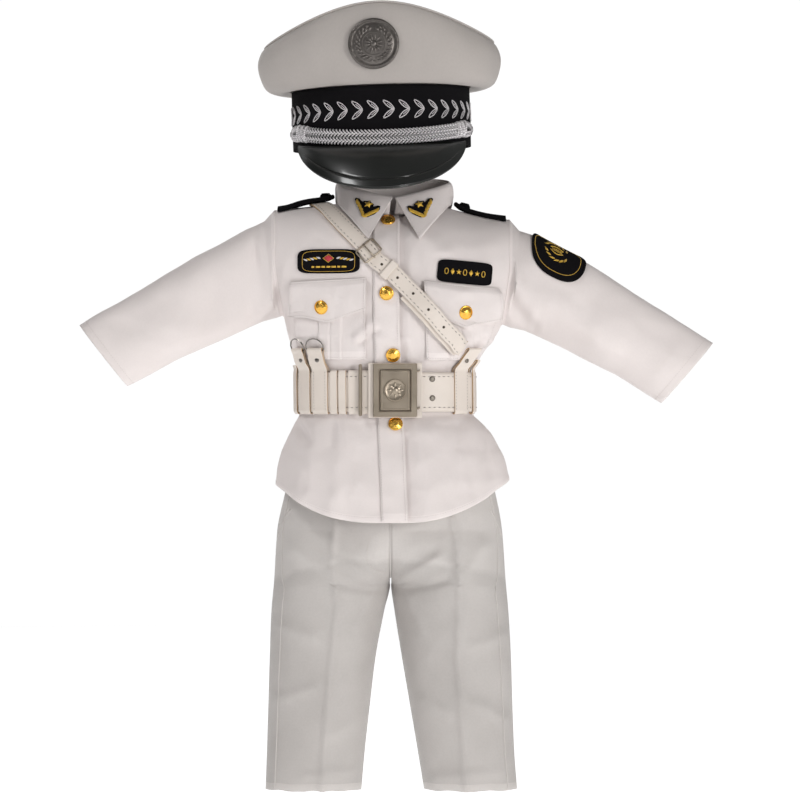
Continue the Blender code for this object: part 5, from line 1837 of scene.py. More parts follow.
def makeLoops():
    for name, x in belt["hangers"].items():
        loopPiece(name.replace("_", "") + "Strip", x, belt["hangerHalf"], hangerLine(), [name], 110)
    for name, (x, half, top) in belt["keepers"].items():
        loopPiece(name.replace("_", "") + "Strip", x, half, keeperLine(top), [name], 90)
    loopPiece("sideKeeperStrip", 88.6, 3.4, keeperLine(-160.5), [], 90)


def beltSpot(x, z, lift):
    return roundPoint(angleSeen(x, lift), z, lift)


def makeStuds():
    bm = bmesh.new()
    spot, normal = beltSpot(
        belt["hangers"]["strap_hanger"] - 0.4, belt["studHeight"] + 0.8, belt["ringLift"] + 1.9
    )
    domeInto(bm, spot, normal, 2.6, 1.2)
    for z in (-180.6, -200.6):
        spot, normal = beltSpot(44.3, z, belt["lift"] + belt["thick"] + 0.3)
        domeInto(bm, spot, normal, 3.2, 1.4)
    finished("beltStuds", bm, "stud")
    holes = bmesh.new()
    for name in ("hanger_1", "hanger_2"):
        spot, normal = beltSpot(
            belt["hangers"][name] + 0.4, belt["studHeight"] + 1.5, belt["ringLift"] + 1.6
        )
        domeInto(holes, spot, normal, 2.7, 0.5, 20, 3)
    finished("hangerStuds", holes, "wire")


def makeBuckle():
    plain = {
        "buckle_back": "leather", "buckle_frame": "nickel", "buckle_panel": "nickel",
        "buckle_bracket": "nickel",
    }
    for node, look in plain.items():
        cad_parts[node].material_slots[0].material = looks[look]
    bm = bmesh.new()
    middle = Vector((5.4, belt["buckleY"] - 4.0, -192.4))
    out, across, up = Vector((0, -1, 0)), Vector((1, 0, 0)), Vector((0, 0, 1))
    profile = (
        (11.7, 0.0), (11.7, 1.0), (11.2, 1.4), (10.2, 0.9), (9.6, 0.45), (4.0, 0.5), (3.4, 1.1),
        (2.2, 1.9), (0.8, 2.3),
    )
    turnedInto(bm, middle, out, across, profile, 72)
    ropeInto(bm, ringOf(middle + out * 1.3, across, 10.9, up, 10.9, 120), 0.5, 34)
    rosetteInto(bm, middle + out * 0.4, out, across, up, 8, 6.2, (6.0, 2.9, 1.3))
    finished("buckleRelief", bm, "nickel", ["buckle_boss"])
    rim = bmesh.new()
    corners = ((-13.9, -19.4), (13.9, -19.4), (13.9, 19.4), (-13.9, 19.4))
    corners = [middle + Vector((x, 0.05, z)) for x, z in corners]
    sides = list(zip(corners, corners[1:] + corners[:1]))
    line = [a.lerp(b, t) for a, b in sides for t in (0.03, 0.35, 0.65, 0.97)]
    rodInto(rim, line, 0.4, 6, True)
    hook = ((19.0, 1.2, 0), (21.5, 1.2, 0), (24.2, 1.8, 0.2), (25.6, 1.8, 1.0), (25.2, 1.8, 2.2))
    for z in (-19.5, 19.5):
        rodInto(rim, [middle + Vector((x, y, z + dz)) for x, y, dz in hook], 0.9, 8)
    finished("buckleTrim", rim, "nickel")


def makeRings():
    for node in ("ring_1", "ring_2"):
        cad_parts[node].material_slots[0].material = looks["wire"]


# Cross strap

crossStrap = {
    "half": 9.0,
    "thick": 1.8,
    # x, way over the shoulder (below zero in front) and lift
    "front": (
        (72.5, -143.5, 8.6),
        (58, -127, 7.6),
        (40, -108, 7.4),
        (20, -87.5, 4.4),
        (0, -67.5, 3.6),
        (-24, -50, 1.6),
        (-52, -32, 1.2),
        (-68, -15, 1.2),
        (-76.5, -1.5, 1.2),
    ),
    "back": (
        (-77, 1.5, 1.2),
        (-70, 17, 1.2),
        (-52, 38, 1.2),
        (-30, 58, 1.2),
        (-5, 88, 1.2),
        (20, 118, 1.2),
        (45, 148, 1.8),
        (56, 161, 3.2),
    ),
    "under": (
        (70.0, -146.5, 6.2),
        (55, -130, 5.4),
        (37, -111, 5.5),
        (17, -90.5, 2.4),
    ),
    "buckle": -22.0,  # the buckle and the keeper, by their x
    "keeper": -1.0,
    "steps": 24,
}


# Middle points, normals and side directions along a strap.
def strapLines(table, count):
    rows = curveThrough(table, count)
    spots = [over(x, run, lift) for x, run, lift in rows]
    out = []
    for k, (point, normal) in enumerate(spots):
        ahead = spots[min(k + 1, count - 1)][0] - spots[max(k - 1, 0)][0]
        side = ahead.cross(normal).normalized()
        out.append((point, normal, side))
    return out


# Place, normal, direction along the front strap and across it, where it passes x.
def strapFrame(x):
    lines = strapLines(crossStrap["front"], crossStrap["steps"])
    for near, far in zip(lines, lines[1:]):
        if far[0].x <= x <= near[0].x:
            share = (near[0].x - x) / (near[0].x - far[0].x)
            point = near[0].lerp(far[0], share)
            normal = near[1].lerp(far[1], share).normalized()
            along = (far[0] - near[0]).normalized()
            return point, normal, along, along.cross(normal).normalized()


def strapPiece(name, table, nodes, thick, count=120):
    lines = strapLines(table, count)

    def place(across, up):
        point, normal, side = rowAt(lines, up * (count - 1))
        share = across * 2 - 1
        bulge = 0.3 * (1 - share * share)
        across = side.normalized() * share * crossStrap["half"]
        return point + across + normal.normalized() * bulge

    length = sum((b[0] - a[0]).length for a, b in zip(lines, lines[1:]))
    gridPiece(
        name, 12, count * 2, place, "leather", nodes, (crossStrap["half"] * 2, length),
        (0, 0, -120), thick=thick, grow=1,
    )


def makeStraps():
    strapPiece("strapFrontStrip", crossStrap["front"], ["strap_front"], crossStrap["thick"])
    strapPiece("strapBackStrip", crossStrap["back"], ["strap_back"], crossStrap["thick"])
    strapPiece("strapUnderStrip", crossStrap["under"], ["strap_under"], 1.4, 40)
    strapLoop()
    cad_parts["strap_buckle"].material_slots[0].material = looks["nickel"]
    point, normal, along = strapFrame(crossStrap["buckle"])[:3]
    base = point + normal * (crossStrap["thick"] + 1.5)
    bm = bmesh.new()
    start = base + along * -8.4 + normal * 0.9
    rodInto(
        bm, [start, base + along * -1 + normal * 1.5, base + along * 9.4 + normal * 1.3], 0.75, 8
    )
    wrap = ringOf(start - normal * 1.2, along, -1.5, normal, 1.5, 8)
    rodInto(bm, wrap, 0.7, 8, True)
    finished("strapProng", bm, "nickel")
    # Flat near-black discs in the place of the punched holes: painted shade inside them
    holes = bmesh.new()
    for x in (-8.5, 7.9, 24.2, 40.0, 55.7):
        spot, out = strapFrame(x)[:2]
        domeInto(holes, spot + out * (crossStrap["thick"] + 0.42), out, 1.5, 0.12, 14, 2)
    finished("strapHoles", holes, "hole")


def strapLoop():
    point, normal, along, side = strapFrame(crossStrap["keeper"])
    reach, high, low = crossStrap["half"] + 1.3, crossStrap["thick"] + 1.7, -1.2
    corners = [(-reach, low), (reach, low), (reach, high), (-reach, high), (-reach, low)]
    spans = [2 * reach, high - low, 2 * reach, high - low]
    total = sum(spans)

    def place(across, up):
        at = up * total * 0.999999
        k = 0
        while at > spans[k]:
            at -= spans[k]
            k += 1
        t = at / spans[k]
        wide = corners[k][0] + (corners[k + 1][0] - corners[k][0]) * t
        lift = corners[k][1] + (corners[k + 1][1] - corners[k][1]) * t
        return point + side * wide + normal * lift + along * 4.2 * (2 * across - 1)

    gridPiece(
        "strapKeeperLoop", 6, 56, place, "leather", ["strap_keeper"], (8.4, 48),
        tuple(point + normal), tube=True, thick=1.0, grow=0,
    )


# Cap

cap = {
    "place": (-9.5, 0.0, 0.0),
    "tilt": 1.7,  # degrees, the wearer's left side up
    "bandHalf": 94.5,
    "bandDepth": 98.0,
    "bandBottom": 64.0,
    "bandTop": 126.0,
    "felt": 1.6,
    # Rings: radius and height in front, at the sides and behind
    "crown": (
        (95.6, 127.0, 95.6, 127.0, 95.6, 127.0),
        (101.0, 129.5, 108.0, 124.5, 112.0, 124.0),
        (107.0, 145.0, 121.0, 129.5, 124.0, 131.0),
        (110.0, 165.0, 128.0, 143.0, 129.0, 141.0),
        (110.5, 186.0, 129.5, 156.0, 129.5, 149.0),
        (107.0, 203.0, 125.5, 168.0, 126.0, 156.0),
        (102.0, 211.5, 121.0, 173.0, 122.0, 159.5),
    ),
    "crownTop": (
        (100.5, 212.6, 119.5, 174.0, 120.5, 160.4),
        (76.0, 211.0, 91.0, 181.0, 92.0, 170.0),
        (40.0, 203.0, 47.0, 187.5, 48.0, 180.5),
    ),
    "crownMiddle": 192.0,
    "badgeHeight": 168.0,
    "leafHeight": 100.5,
    "leaves": 36,
}


def capTurn(point):
    tilt = Matrix.Rotation(math.radians(-cap["tilt"]), 4, "Y")
    middle = Vector((0, 0, 100))
    return tilt @ (Vector(point) - middle) + middle + Vector(cap["place"])


# A point off the head band; angle 0 is the front.
def bandPoint(angle, z, lift):
    a = math.radians(angle)
    half, depth = cap["bandHalf"], cap["bandDepth"]
    normal = Vector((math.sin(a) / half, -math.cos(a) / depth, 0)).normalized()
    return Vector((half * math.sin(a), -depth * math.cos(a), z)) + normal * lift


# A place off the band on the tilted cap, and the way out from it.
def bandSpot(angle, z, lift):
    spot = capTurn(bandPoint(angle, z, lift))
    return spot, (capTurn(bandPoint(angle, z, lift + 1)) - spot).normalized()


# A point of a crown ring: its front, side and back sizes blended round the head.
def crownPoint(row, angle):
    a = math.radians(angle)
    c = math.cos(a)
    front, rear, flank = max(c, 0) ** 2, min(c, 0) ** 2, math.sin(a) ** 2
    radius = front * row[0] + flank * row[2] + rear * row[4]
    z = front * row[1] + flank * row[3] + rear * row[5]
    return Vector((radius * math.sin(a), -radius * c, z))


def makeCrown():
    rows = curveThrough(cap["crown"], 61)
    topRows = curveThrough(cap["crownTop"] + ((0.0, cap["crownMiddle"]) * 3,), 41)

    def puff(point, up):
        # Soft dents and the drape of cloth between the band and the piping
        out = Vector((point.x, point.y, 0)).normalized()
        size = rumple((point.x, point.y, point.z), 42, 2.2) * math.sin(math.pi * up)
        return point + out * size

    def side(across, up):
        return capTurn(puff(crownPoint(rowAt(rows, up * 60), 360 * across), up))

    def top(across, up):
        point = crownPoint(rowAt(topRows, up * 40 * 0.97), 360 * across)
        point.z += rumple((point.x, point.y, 3), 46, 2.4) * soft(up * 4)
        return capTurn(point)

    gridPiece(
        "crownSide", 160, 40, side, "cap", ["cap_crown_side"], (700, 72),
        tuple(capTurn((0, 0, 150))), tube=True, thick=cap["felt"],
    )

    def disc(share, turn):
        if share:
            return top(turn / (2 * math.pi), 1 - share)
        return capTurn((0, 0, cap["crownMiddle"]))

    discPiece(
        "crownTopDisc", 26, 120, disc, "cap", ["cap_crown_top"],
        capTurn((0, 0, 100)), (0, 1), cap["felt"], -1,
    )


def makePiping():
    bm = bmesh.new()
    # It lies just outside and above the crown's last ring
    row = [size + more for size, more in zip(cap["crown"][-1], (0.3, 0.9, 0.3, 0.7, 0.3, 0.7))]
    line = [capTurn(crownPoint(row, 3 * k)) for k in range(120)]
    rodInto(bm, line, 1.15, 8, True)
    finished("crownPiping", bm, "cap")


def makeBand():
    low, high = cap["bandBottom"], cap["bandTop"]

    def band(across, up):
        lift = 0.25 * math.sin(math.pi * up)
        return capTurn(bandPoint(360 * across, low + (high - low) * up, lift))

    def sweatBand(across, up):
        return capTurn(bandPoint(360 * across, low + 2.5 + 28 * up, -2.2))

    middle = capTurn((0, 0, 95))
    gridPiece(
        "capBandStrip", 160, 14, band, "black", ["cap_band"], (605, 62), middle, tube=True,
        thick=cap["felt"],
    )
    gridPiece(
        "sweatBand", 120, 4, sweatBand, "black", [], (595, 28), middle, tube=True, thick=0.8,
    )


def makeLeafChain():
    bm = bmesh.new()
    z = cap["leafHeight"]
    for k in range(cap["leaves"]):
        angle = -180 + 360 * (k + 0.5) / cap["leaves"]
        spot, out = bandSpot(angle, z, 0.6)
        ahead = (bandSpot(angle + 1, z, 0.6)[0] - spot).normalized()
        up = ahead.cross(out).normalized()
        for lean in (-1, 1):
            place = spot + up * lean * 4.6
            way = (ahead * 0.74 - up * lean * 0.6).normalized()
            cross = way.cross(out).normalized()
            ring = []
            for j in range(18):
                a = 2 * math.pi * j / 18
                ring.append(place + way * 7.3 * math.cos(a)
                            + cross * 2.1 * math.sin(a) * (1 - 0.35 * abs(math.cos(a))))
            rodInto(bm, ring, 0.5, 6, True)
            rodInto(bm, [place - way * 2.0, place + out * 0.1, place + way * 7.3], 0.36, 5)
    finished("bandLeaves", bm, "silver")


def badgePlace():
    angle = -1.5
    for near, far in zip(cap["crown"], cap["crown"][1:]):
        low, high = crownPoint(near, angle), crownPoint(far, angle)
        if low.z <= cap["badgeHeight"] <= high.z:
            foot = low.lerp(high, (cap["badgeHeight"] - low.z) / (high.z - low.z))
    place = capTurn(foot + Vector((-2.5, -0.5, 0)))
    return place, Vector((-0.02, -1, -0.03)).normalized()


def makeBadge():
    place, out = badgePlace()
    side = Vector((1, 0, 0))
    side = (side - out * side.dot(out)).normalized()
    up = out.cross(side).normalized()
    if up.z < 0:
        up = -up
    bm = bmesh.new()

    def at(radius, degrees, lift):
        a = math.radians(degrees)
        return place + side * radius * math.cos(a) + up * radius * math.sin(a) + out * lift

    profile = (
        (26.2, -0.4), (26.6, 1.0), (26.2, 2.4), (25.0, 3.0), (23.4, 2.6), (22.0, 2.0), (20.6, 2.5),
        (17.0, 3.4), (11.0, 4.2), (5.0, 4.7),
    )
    turnedInto(bm, place, out, side, profile, 96)
    for vert in bm.verts:
        # The rim is beaded
        spoke = vert.co / mm - place
        if 22.5 < (spoke - out * spoke.dot(out)).length < 25.5:
            turn = math.atan2(spoke.dot(up), spoke.dot(side))
            vert.co += out * 0.45 * math.cos(24 * turn) * mm
    for k in range(44):
        # Leaves of a plain wreath, two rows that climb from the foot
        flank = 1 if k % 2 else -1
        t = (k // 2) / 21
        degrees = -90 + flank * (8 + 158 * t)
        radius = 18.4 if k % 4 < 2 else 15.6
        spot = at(radius, degrees, 3.1 + (18.4 - radius) * 0.2)
        a = math.radians(degrees + flank * 62)
        way = (side * math.cos(a) + up * math.sin(a)).normalized()
        leafInto(bm, spot, out, way, 6.2, 3.0, 1.9)
    rosetteInto(bm, at(0, 0, 4.5), out, side, up, 12, 6.6, (7.8, 2.8, 2.0), math.radians(15))
    domeInto(bm, at(0, 0, 4.4), out, 3.4, 2.0, 20, 5)
    ropeInto(bm, ringOf(at(0, 0, 3.2), side, 24.2, up, 24.2, 144), 0.75, 46)
    rodInto(bm, ringOf(at(0, 0, 4.4), side, 12.0, up, 12.0, 72), 0.45, 6, True)
    finished("capBadgeRelief", bm, "pewter", ["cap_badge"])


# Visor

peak = {
    "angle": 65.0,
    "drop": 47.0,
    "reach": 44.0,
    "thick": 2.0,
}


# How far the visor reaches at a share of its width, of what it reaches in the middle.
def visorSwell(across):
    return max(math.cos(math.radians(90 * (across * 2 - 1))), 0) ** 0.62


def visorPoint(across, out, lift=0.0):
    share = across * 2 - 1
    angle = peak["angle"] * share
    root = bandPoint(angle, cap["bandBottom"] - 1.5 + 4 * share * share, 1.0)
    swell = visorSwell(across)
    reach = peak["reach"] * swell * out
    drop = peak["drop"] * swell * out**1.12
    tip = root + Vector((root.x * 0.02 * out, -reach, -drop))
    tip += Vector((0, -0.74, 0.67)) * lift
    return capTurn(tip)


def makeVisor():
    def place(across, up):
        swell = visorSwell(across)
        away = (up - 1) * 64 * swell + 10.0
        rise = 1.0 * soft(away / 2.6) - 0.7 * math.exp(-((away / 1.0) ** 2))
        rise *= soft((swell - 0.3) / 0.2)
        rise += 3.4 * math.sin(math.pi * min(max(up, 0), 1)) * soft((swell - 0.25) / 0.5)
        return visorPoint(across, up, rise)

    gridPiece(
        "visorShell", 120, 56, place, "visor", ["cap_visor"], (200, 64),
        tuple(capTurn((0, 40, 0))), thick=peak["thick"], grow=1,
    )
    bm = bmesh.new()
    line = [visorPoint(0.04 + 0.92 * k / 60, 1.0, 1.0) for k in range(61)]
    rodInto(bm, line, 1.3, 8)
    finished("visorEdge", bm, "visor")


# The cap's silver plaits

plait = {
    "radius": 3.5,
    "high": 75.2,
    "low": 67.5,
    "rise": 9.0,
    "angle": 60.0,
}


def plaitInto(bm, points, outs, wide, thick, pitch):
    # A flat plait: bowed strands in pairs, each from the middle line out to an edge
    walked, last = 0.0, 0.0
    for k in range(len(points) - 1):
        a, b = points[k], points[k + 1]
        span = (b - a).length
        way = (b - a).normalized()
        out = outs[k]
        side = way.cross(out).normalized()
        while last < walked + span:
            spot = a + way * (last - walked)
            for lean in (-1, 1):
                start = spot + way * pitch * 0.5 * (lean > 0)
                line = [
                    start - side * lean * wide * 0.15 + out * thick * 0.55,
                    start + side * lean * wide * 0.35 + out * thick - way * pitch * 0.45,
                    start + side * lean * wide * 0.85 + out * thick * 0.55 - way * pitch * 1.0,
                    start + side * lean * wide * 1.05 - out * thick * 0.3 - way * pitch * 1.25,
                ]
                rodInto(bm, line, pitch * 0.215, 6, False, 0.9)
            last += pitch
        walked += span


def cordLine(low):
    points, outs = [], []
    for k in range(61):
        share = -1 + 2 * k / 60
        z = (plait["low"] if low else plait["high"]) + plait["rise"] * share * share
        spot, out = bandSpot(plait["angle"] * share, z, plait["radius"] + 0.4)
        points.append(spot)
        outs.append(out)
    return points, outs


def makeCord():
    bm, dark = bmesh.new(), bmesh.new()
    for low in (True, False):
        points, outs = cordLine(low)
        plaitInto(bm, points, outs, 3.6, 2.9, 4.0)
        # A near-black rod under the plait: painted shade in the gaps between its strands
        rodInto(dark, [p - o * 0.6 for p, o in zip(points, outs)], 2.2, 8, False, 0.8)
    for side in (-1, 1):
        endLoop(bm, dark, side)
        wrappedKnot(bm, side)
    finished("plaitedCord", bm, "silver", ["cap_cord"])
    finished("cordShadeCore", dark, "cordGapShade")


def endLoop(bm, dark, side):
    radius = (plait["high"] - plait["low"]) / 2
    points, outs = [], []
    for k in range(17):
        a = math.radians(-90 + 180 * k / 16)
        z = plait["low"] + radius + plait["rise"] + (radius + 1.5) * math.sin(a)
        angle = side * (plait["angle"] + 3 + 8.6 * math.cos(a))
        spot, out = bandSpot(angle, z, plait["radius"] + 0.2)
        points.append(spot)
        outs.append(out)
    plaitInto(bm, points, outs, 3.0, 2.4, 3.4)
    # A near-black rod under the loop's plait: painted shade in the gaps between its strands
    rodInto(dark, points, 1.7, 8)


def wrappedKnot(bm, side):
    # A sliding knot: cord wound round both strands
    for k in range(5):
        angle = side * (plait["angle"] - 7.5 + 2.1 * k)
        share = angle / plait["angle"]
        z = (plait["low"] + plait["high"]) / 2 + plait["rise"] * share * share
        middle, out = bandSpot(angle, z, plait["radius"] + 0.6)
        ahead = bandSpot(angle + 1, z, plait["radius"] + 0.6)[0] - middle
        up = ahead.normalized().cross(out).normalized()
        lean = ahead.normalized() * (1.5 if k % 2 else -1.5)
        ring = ringOf(middle, up * 7.9 + lean, 1, out, 3.4, 20)
        rodInto(bm, ring, 1.15, 7, True)


# Buttons

# Name, x, z and lift of those on the jacket's front
frontButtons = (
    ("button_1", -2.0, -15.5, 2.2),
    ("button_2", -3.6, -91.0, 2.2),
    ("button_3", 3.2, -154.8, 2.2),
    ("button_4", 5.8, -228.8, 2.2),
    ("flap_button_right", -70.0, -104.8, 4.6),
    ("flap_button_left", 77.4, -110.2, 4.6),
)

shoulderButtons = (
    ("epaulette_button_right", -68.5, 9.5, (-0.05, 0, 1)),
    ("epaulette_button_left", 79, 7.0, (0.25, 0, 1)),
)


def buttonInto(bm, place, normal, size=1.0):
    side = normal.cross(Vector((0, 0, 1)))
    if side.length < 0.1:
        side = Vector((1, 0, 0))
    side = side.normalized()
    up = normal.cross(side).normalized()
    profile = [
        (radius * size, lift * size)
        for radius, lift in (
            (7.3, 0), (7.6, 0.5), (7.55, 1.4), (7.1, 1.9), (6.5, 1.75), (6.1, 1.9), (5.2, 2.6),
            (3.9, 3.3), (2.4, 3.9), (1.0, 4.15),
        )
    ]
    turnedInto(bm, place, normal, side, profile, 40)
    leaf = (3.4 * size, 1.6 * size, 0.55 * size)
    top = place + normal * 3.35 * size
    rosetteInto(bm, top, normal, side, up, 10, 3.4 * size, leaf, 0, 0.45)
    ring = ringOf(place + normal * 1.95 * size, side, 6.8 * size, up, 6.8 * size, 48)
    rodInto(bm, ring, 0.28 * size, 5, True)


def makeButtons():
    for name, x, z, lift in frontButtons:
        bm = bmesh.new()
        buttonInto(bm, onFront(x, z, lift), faceNormal(x, z, False))
        finished(name.replace("_", "") + "Gilt", bm, "gilt", [name])
    for name, x, lift, normal in shoulderButtons:
        bm = bmesh.new()
        place = shoulderTop(x, 0, lift)
        out = Vector(normal).normalized()
        buttonInto(bm, place + out * 0.8, out, 0.58)
        knotInto(bm, place, out)
        finished(name.replace("_", "") + "Knot", bm, "black", [name])
    for name, side in (("cap_button_right", -1), ("cap_button_left", 1)):
        spot, out = bandSpot(side * 79, 81.0, 0.6)
        bm = bmesh.new()
        buttonInto(bm, spot, out, 0.8)
        finished(name.replace("_", "") + "Pewter", bm, "pewter", [name])


def knotInto(bm, place, out):
    # Braid wound round the foot of the shoulder button
    side = out.cross(Vector((0, 1, 0))).normalized()
    other = out.cross(side).normalized()
    for lift, wide in ((-2.0, 6.0), (-0.6, 5.6), (0.9, 4.9), (2.2, 3.8)):
        ring = ringOf(place + out * lift, side, wide, other, wide, 24)
        rodInto(bm, ring, 0.95, 6, True)


# Stitching and seams

def lined(place, count, lift=0.35):
    # Points and normals along a line on a piece; place gives its point at a share and a lift
    out = []
    for k in range(count + 1):
        low = place(k / count, 0.0)
        normal = (place(k / count, 1.0) - low).normalized()
        out.append((low + normal * lift, normal))
    return out


def makeStitches():
    white, grey = bmesh.new(), bmesh.new()
    lines = []
    for edge in (1.6, placket["wide"] - 2.6):
        lines.append(
            lambda t, lift, e=edge: placketPoint(e / placket["wide"], 0.004 + 0.99 * t, lift + 1.0)
        )
    for name in pockets:
        for across in (0.022, 0.978):
            lines.append(lambda t, lift, n=name, a=across: pocketPoint(n, a, t, lift + 1.1))
        lines.append(lambda t, lift, n=name: pocketPoint(n, t, 0.03, lift + 1.1))
    for name in flaps:
        for edge in (0.03, 0.97):
            lines.append(lambda t, lift, n=name, e=edge: flapPoint(n, e, t, lift + 1.3))
        for edge in (0.05, 0.95):
            lines.append(lambda t, lift, n=name, e=edge: flapPoint(n, t, e, lift + 1.3))
    for line in lines:
        stitchInto(white, lined(line, 60), 2.8, 0.62, 0.4)
    hemStitches(white)
    collarStitches(white)
    sleeveStitches(white)
    legStitches(white)
    # The white stitches are darker than the cloth: painted shade along the stitch lines
    finished("whiteStitches", white, "whiteThreadShaded")
    beltStitches(grey)
    finished("greyStitches", grey, "greyThread")


def hemStitches(bm):
    for lines, back in ((rightLines, False), (leftLines, False), (backLines, True)):
        def place(t, lift):
            level = coat["hemMiddle"] + 5.5
            first, last = lines(level)
            point = jacketPoint(first + (last - first) * t, level, back, lines is leftLines)
            out = Vector((point.x * 0.35, point.y, 0)).normalized()
            return point + out * lift

        stitchInto(bm, lined(place, 120, 0.15), 2.8, 0.6, 0.32)


def collarStitches(bm):
    lines = collarLines(97)

    def place(t, lift):
        at = 1.5 + 92.9 * t
        return leafAt(lines, at, 0.95, lift)

    row = lined(place, 200, 0.2)
    stitchInto(bm, row, 2.6, 0.6, 0.3)
    for at in (0.6, 95.2):
        ends = lined(lambda t, lift: leafAt(lines, at, 0.12 + 0.82 * t, lift), 30, 0.2)
        stitchInto(bm, ends, 2.6, 0.6, 0.3)


def sleeveStitches(bm):
    for name in sleeves:
        def place(t, lift):
            return sleeveAt(name, 7.72, 360 * t, lift)

        stitchInto(bm, lined(place, 90, 0.15), 2.8, 0.6, 0.3)


def legStitches(bm):
    for side in (-1, 1):
        for back in (False, True):
            def place(t, lift):
                return legPoint(side, back, 0.04 + 0.92 * t, 0.017, lift * 2.0)

            stitchInto(bm, lined(place, 70, 0.2), 3.0, 0.55, 0.3)

    def fly(t, lift):
        z = -345 - 42 * t
        across = 0.13 + 0.02 * math.sin(3 * t) - 0.1 * soft((t - 0.75) / 0.25)
        return legPoint(-1, False, max(across, 0.03), legShare(z), lift)

    stitchInto(bm, lined(fly, 40, 0.2), 2.6, 0.6, 0.3)


def beltStitches(bm):
    first, last = belt["ends"]
    for z in (belt["top"] - 4.6, belt["bottom"] + 4.6):
        row = []
        for k in range(301):
            angle = last + 1.2 + (360 + first - last - 2.4) * k / 300
            point, normal = roundPoint(angle, z, belt["lift"] + belt["thick"] + 0.35)
            row.append((point, normal))
        stitchInto(bm, row, 5.6, 0.64, 0.55)
    for rows in (crossStrap["front"], crossStrap["back"]):
        lines = strapLines(rows, 120)
        for share in (-0.68, 0.68):
            across = share * crossStrap["half"]
            lift = crossStrap["thick"] + 0.42 - 0.3 * share * share
            row = [(p + s * across + n * lift, n) for p, n, s in lines[2:-2]]
            stitchInto(bm, row, 5.6, 0.64, 0.5)
    endStitches(bm)


def endStitches(bm):
    # The stitched rows on the belt's end, and the rows on the hangers
    lift = outerLift + belt["leather"] / 2 + 0.2
    for xa, za, xb, zb in ((-42.4, -178, -23.8, -178), (-23.8, -210.5, -42.4, -210.5)):
        row = [beltSpot(xa + (xb - xa) * k / 12, za + (zb - za) * k / 12, lift) for k in range(13)]
        stitchInto(bm, row, 5.0, 0.64, 0.5)
    for x in belt["hangers"].values():
        for dx in (-6.9, 6.9):
            row = []
            for k in range(25):
                z = belt["bottom"] + 2 + (belt["top"] - belt["bottom"] - 3) * k / 24
                row.append(beltSpot(x + dx * 0.86, z, lift))
            stitchInto(bm, row, 3.2, 0.6, 0.36)


def makeSeams():
    bm = bmesh.new()
    for side in (-1, 1):
        line = []
        for k in range(70):
            up = 0.004 + 0.83 * k / 69
            line.append(legPoint(side, False, 0.80, up, 0.25))
        rodInto(bm, line, 0.7, 6)
        pocket = []
        for k in range(12):
            t = k / 11
            z = -318 - 30 * t
            across = 0.74 + 0.17 * t
            pocket.append(legPoint(side, False, across, legShare(z), 0.3))
        rodInto(bm, pocket, 0.6, 5)
    finished("legSeams", bm, "trouser")


def makeSeamRolls():
    # Felled seams: a soft roll along each seam of the jacket and the trousers
    coatRolls, legRolls = bmesh.new(), bmesh.new()
    for side in (-1, 1):
        ring = []
        for k in range(48):
            point = armhole(side, 2 * math.pi * k / 48)
            ring.append(point + Vector((-side * 0.7, 0, -0.5)))
        rodInto(coatRolls, ring, 0.85, 8, True)
        for last, across in ((0.99, 1.0), (0.985, 0.0)):
            line = []
            for k in range(90):
                up = 0.003 + (last - 0.003) * k / 89
                a = legPoint(side, False, across, up)
                b = legPoint(side, True, across, up)
                line.append((a + b) / 2 if across > 0.5 or a.z < legs["crotch"] else None)
            line = [p for p in line if p]
            line = [p - Vector((side * (0.75 if across > 0.5 else -0.75), 0, 0)) for p in line]
            rodInto(legRolls, line, 0.8, 6)
        line = []
        levels = [coat["hemMiddle"] * (1 - k / 60) for k in range(9, 49)]
        for level in [level for level in levels if level <= coat["armPit"] - 2]:
            a = jacketPoint(side * edgeAngle(level, False), level, False)
            b = jacketPoint(side * edgeAngle(level, True), level, True)
            line.append((a + b) / 2 - Vector((side * 0.75, 0, 0)))
        rodInto(coatRolls, line, 0.8, 6)
    for back in (False, True):
        line = []
        for k in range(40):
            up = legShare(legs["crotch"] + 8) * (1 - k / 39) + 0.97 * k / 39
            a, b = legPoint(-1, back, 0, up), legPoint(1, back, 0, up)
            line.append((a + b) / 2 + Vector((0, 0.25 if not back else -0.25, 0)))
        rodInto(legRolls, line, 0.75, 6)
    finished("jacketSeams", coatRolls, "jacket")
    finished("trouserSeams", legRolls, "trouser")


# Cloth pieces by their cuts

# Cut of each piece of cloth: width and length in metres, its flat area where it is no rectangle
sheetCuts = {
    "jacketFrontRight": (0.178, 0.392, 0.0560),
    "jacketFrontLeft": (0.190, 0.392, 0.0570),
    "jacketBack": (0.318, 0.398, 0.1000),
    "sleeveRight": (0.262, 0.236, 0.0550),
    "sleeveLeft": (0.262, 0.250, 0.0570),
    "collarLeaf": (0.350, 0.052, 0.0145),
    "collarStand": (0.290, 0.036, 0.0082),
    "placketStrip": (0.0275, 0.328, None),
    "pocketright": (0.090, 0.074, 0.0064),
    "pocketleft": (0.088, 0.070, 0.0058),
    "flapright": (0.084, 0.044, 0.0035),
    "flapleft": (0.084, 0.046, 0.0035),
    "epauletteright": (0.060, 0.038, 0.0020),
    "epauletteleft": (0.054, 0.038, 0.0019),
    "trouserfrontright": (0.176, 0.410, 0.0600),
    "trouserfrontleft": (0.176, 0.410, 0.0600),
    "trouserbackright": (0.176, 0.410, 0.0600),
    "trouserbackleft": (0.176, 0.410, 0.0600),
    "waistbandStrip": (0.480, 0.030, None),
    "crownSide": (0.800, 0.086, 0.0550),
    "crownTopDisc": (0.255, 0.240, 0.0430),
}

laidOn = {
    "placketStrip": "jacketFrontRight", "pocketright": "jacketFrontRight",
    "pocketleft": "jacketFrontLeft", "flapright": "jacketFrontRight", "flapleft": "jacketFrontLeft",
    "epauletteright": "jacketFrontRight", "epauletteleft": "jacketFrontLeft",
}


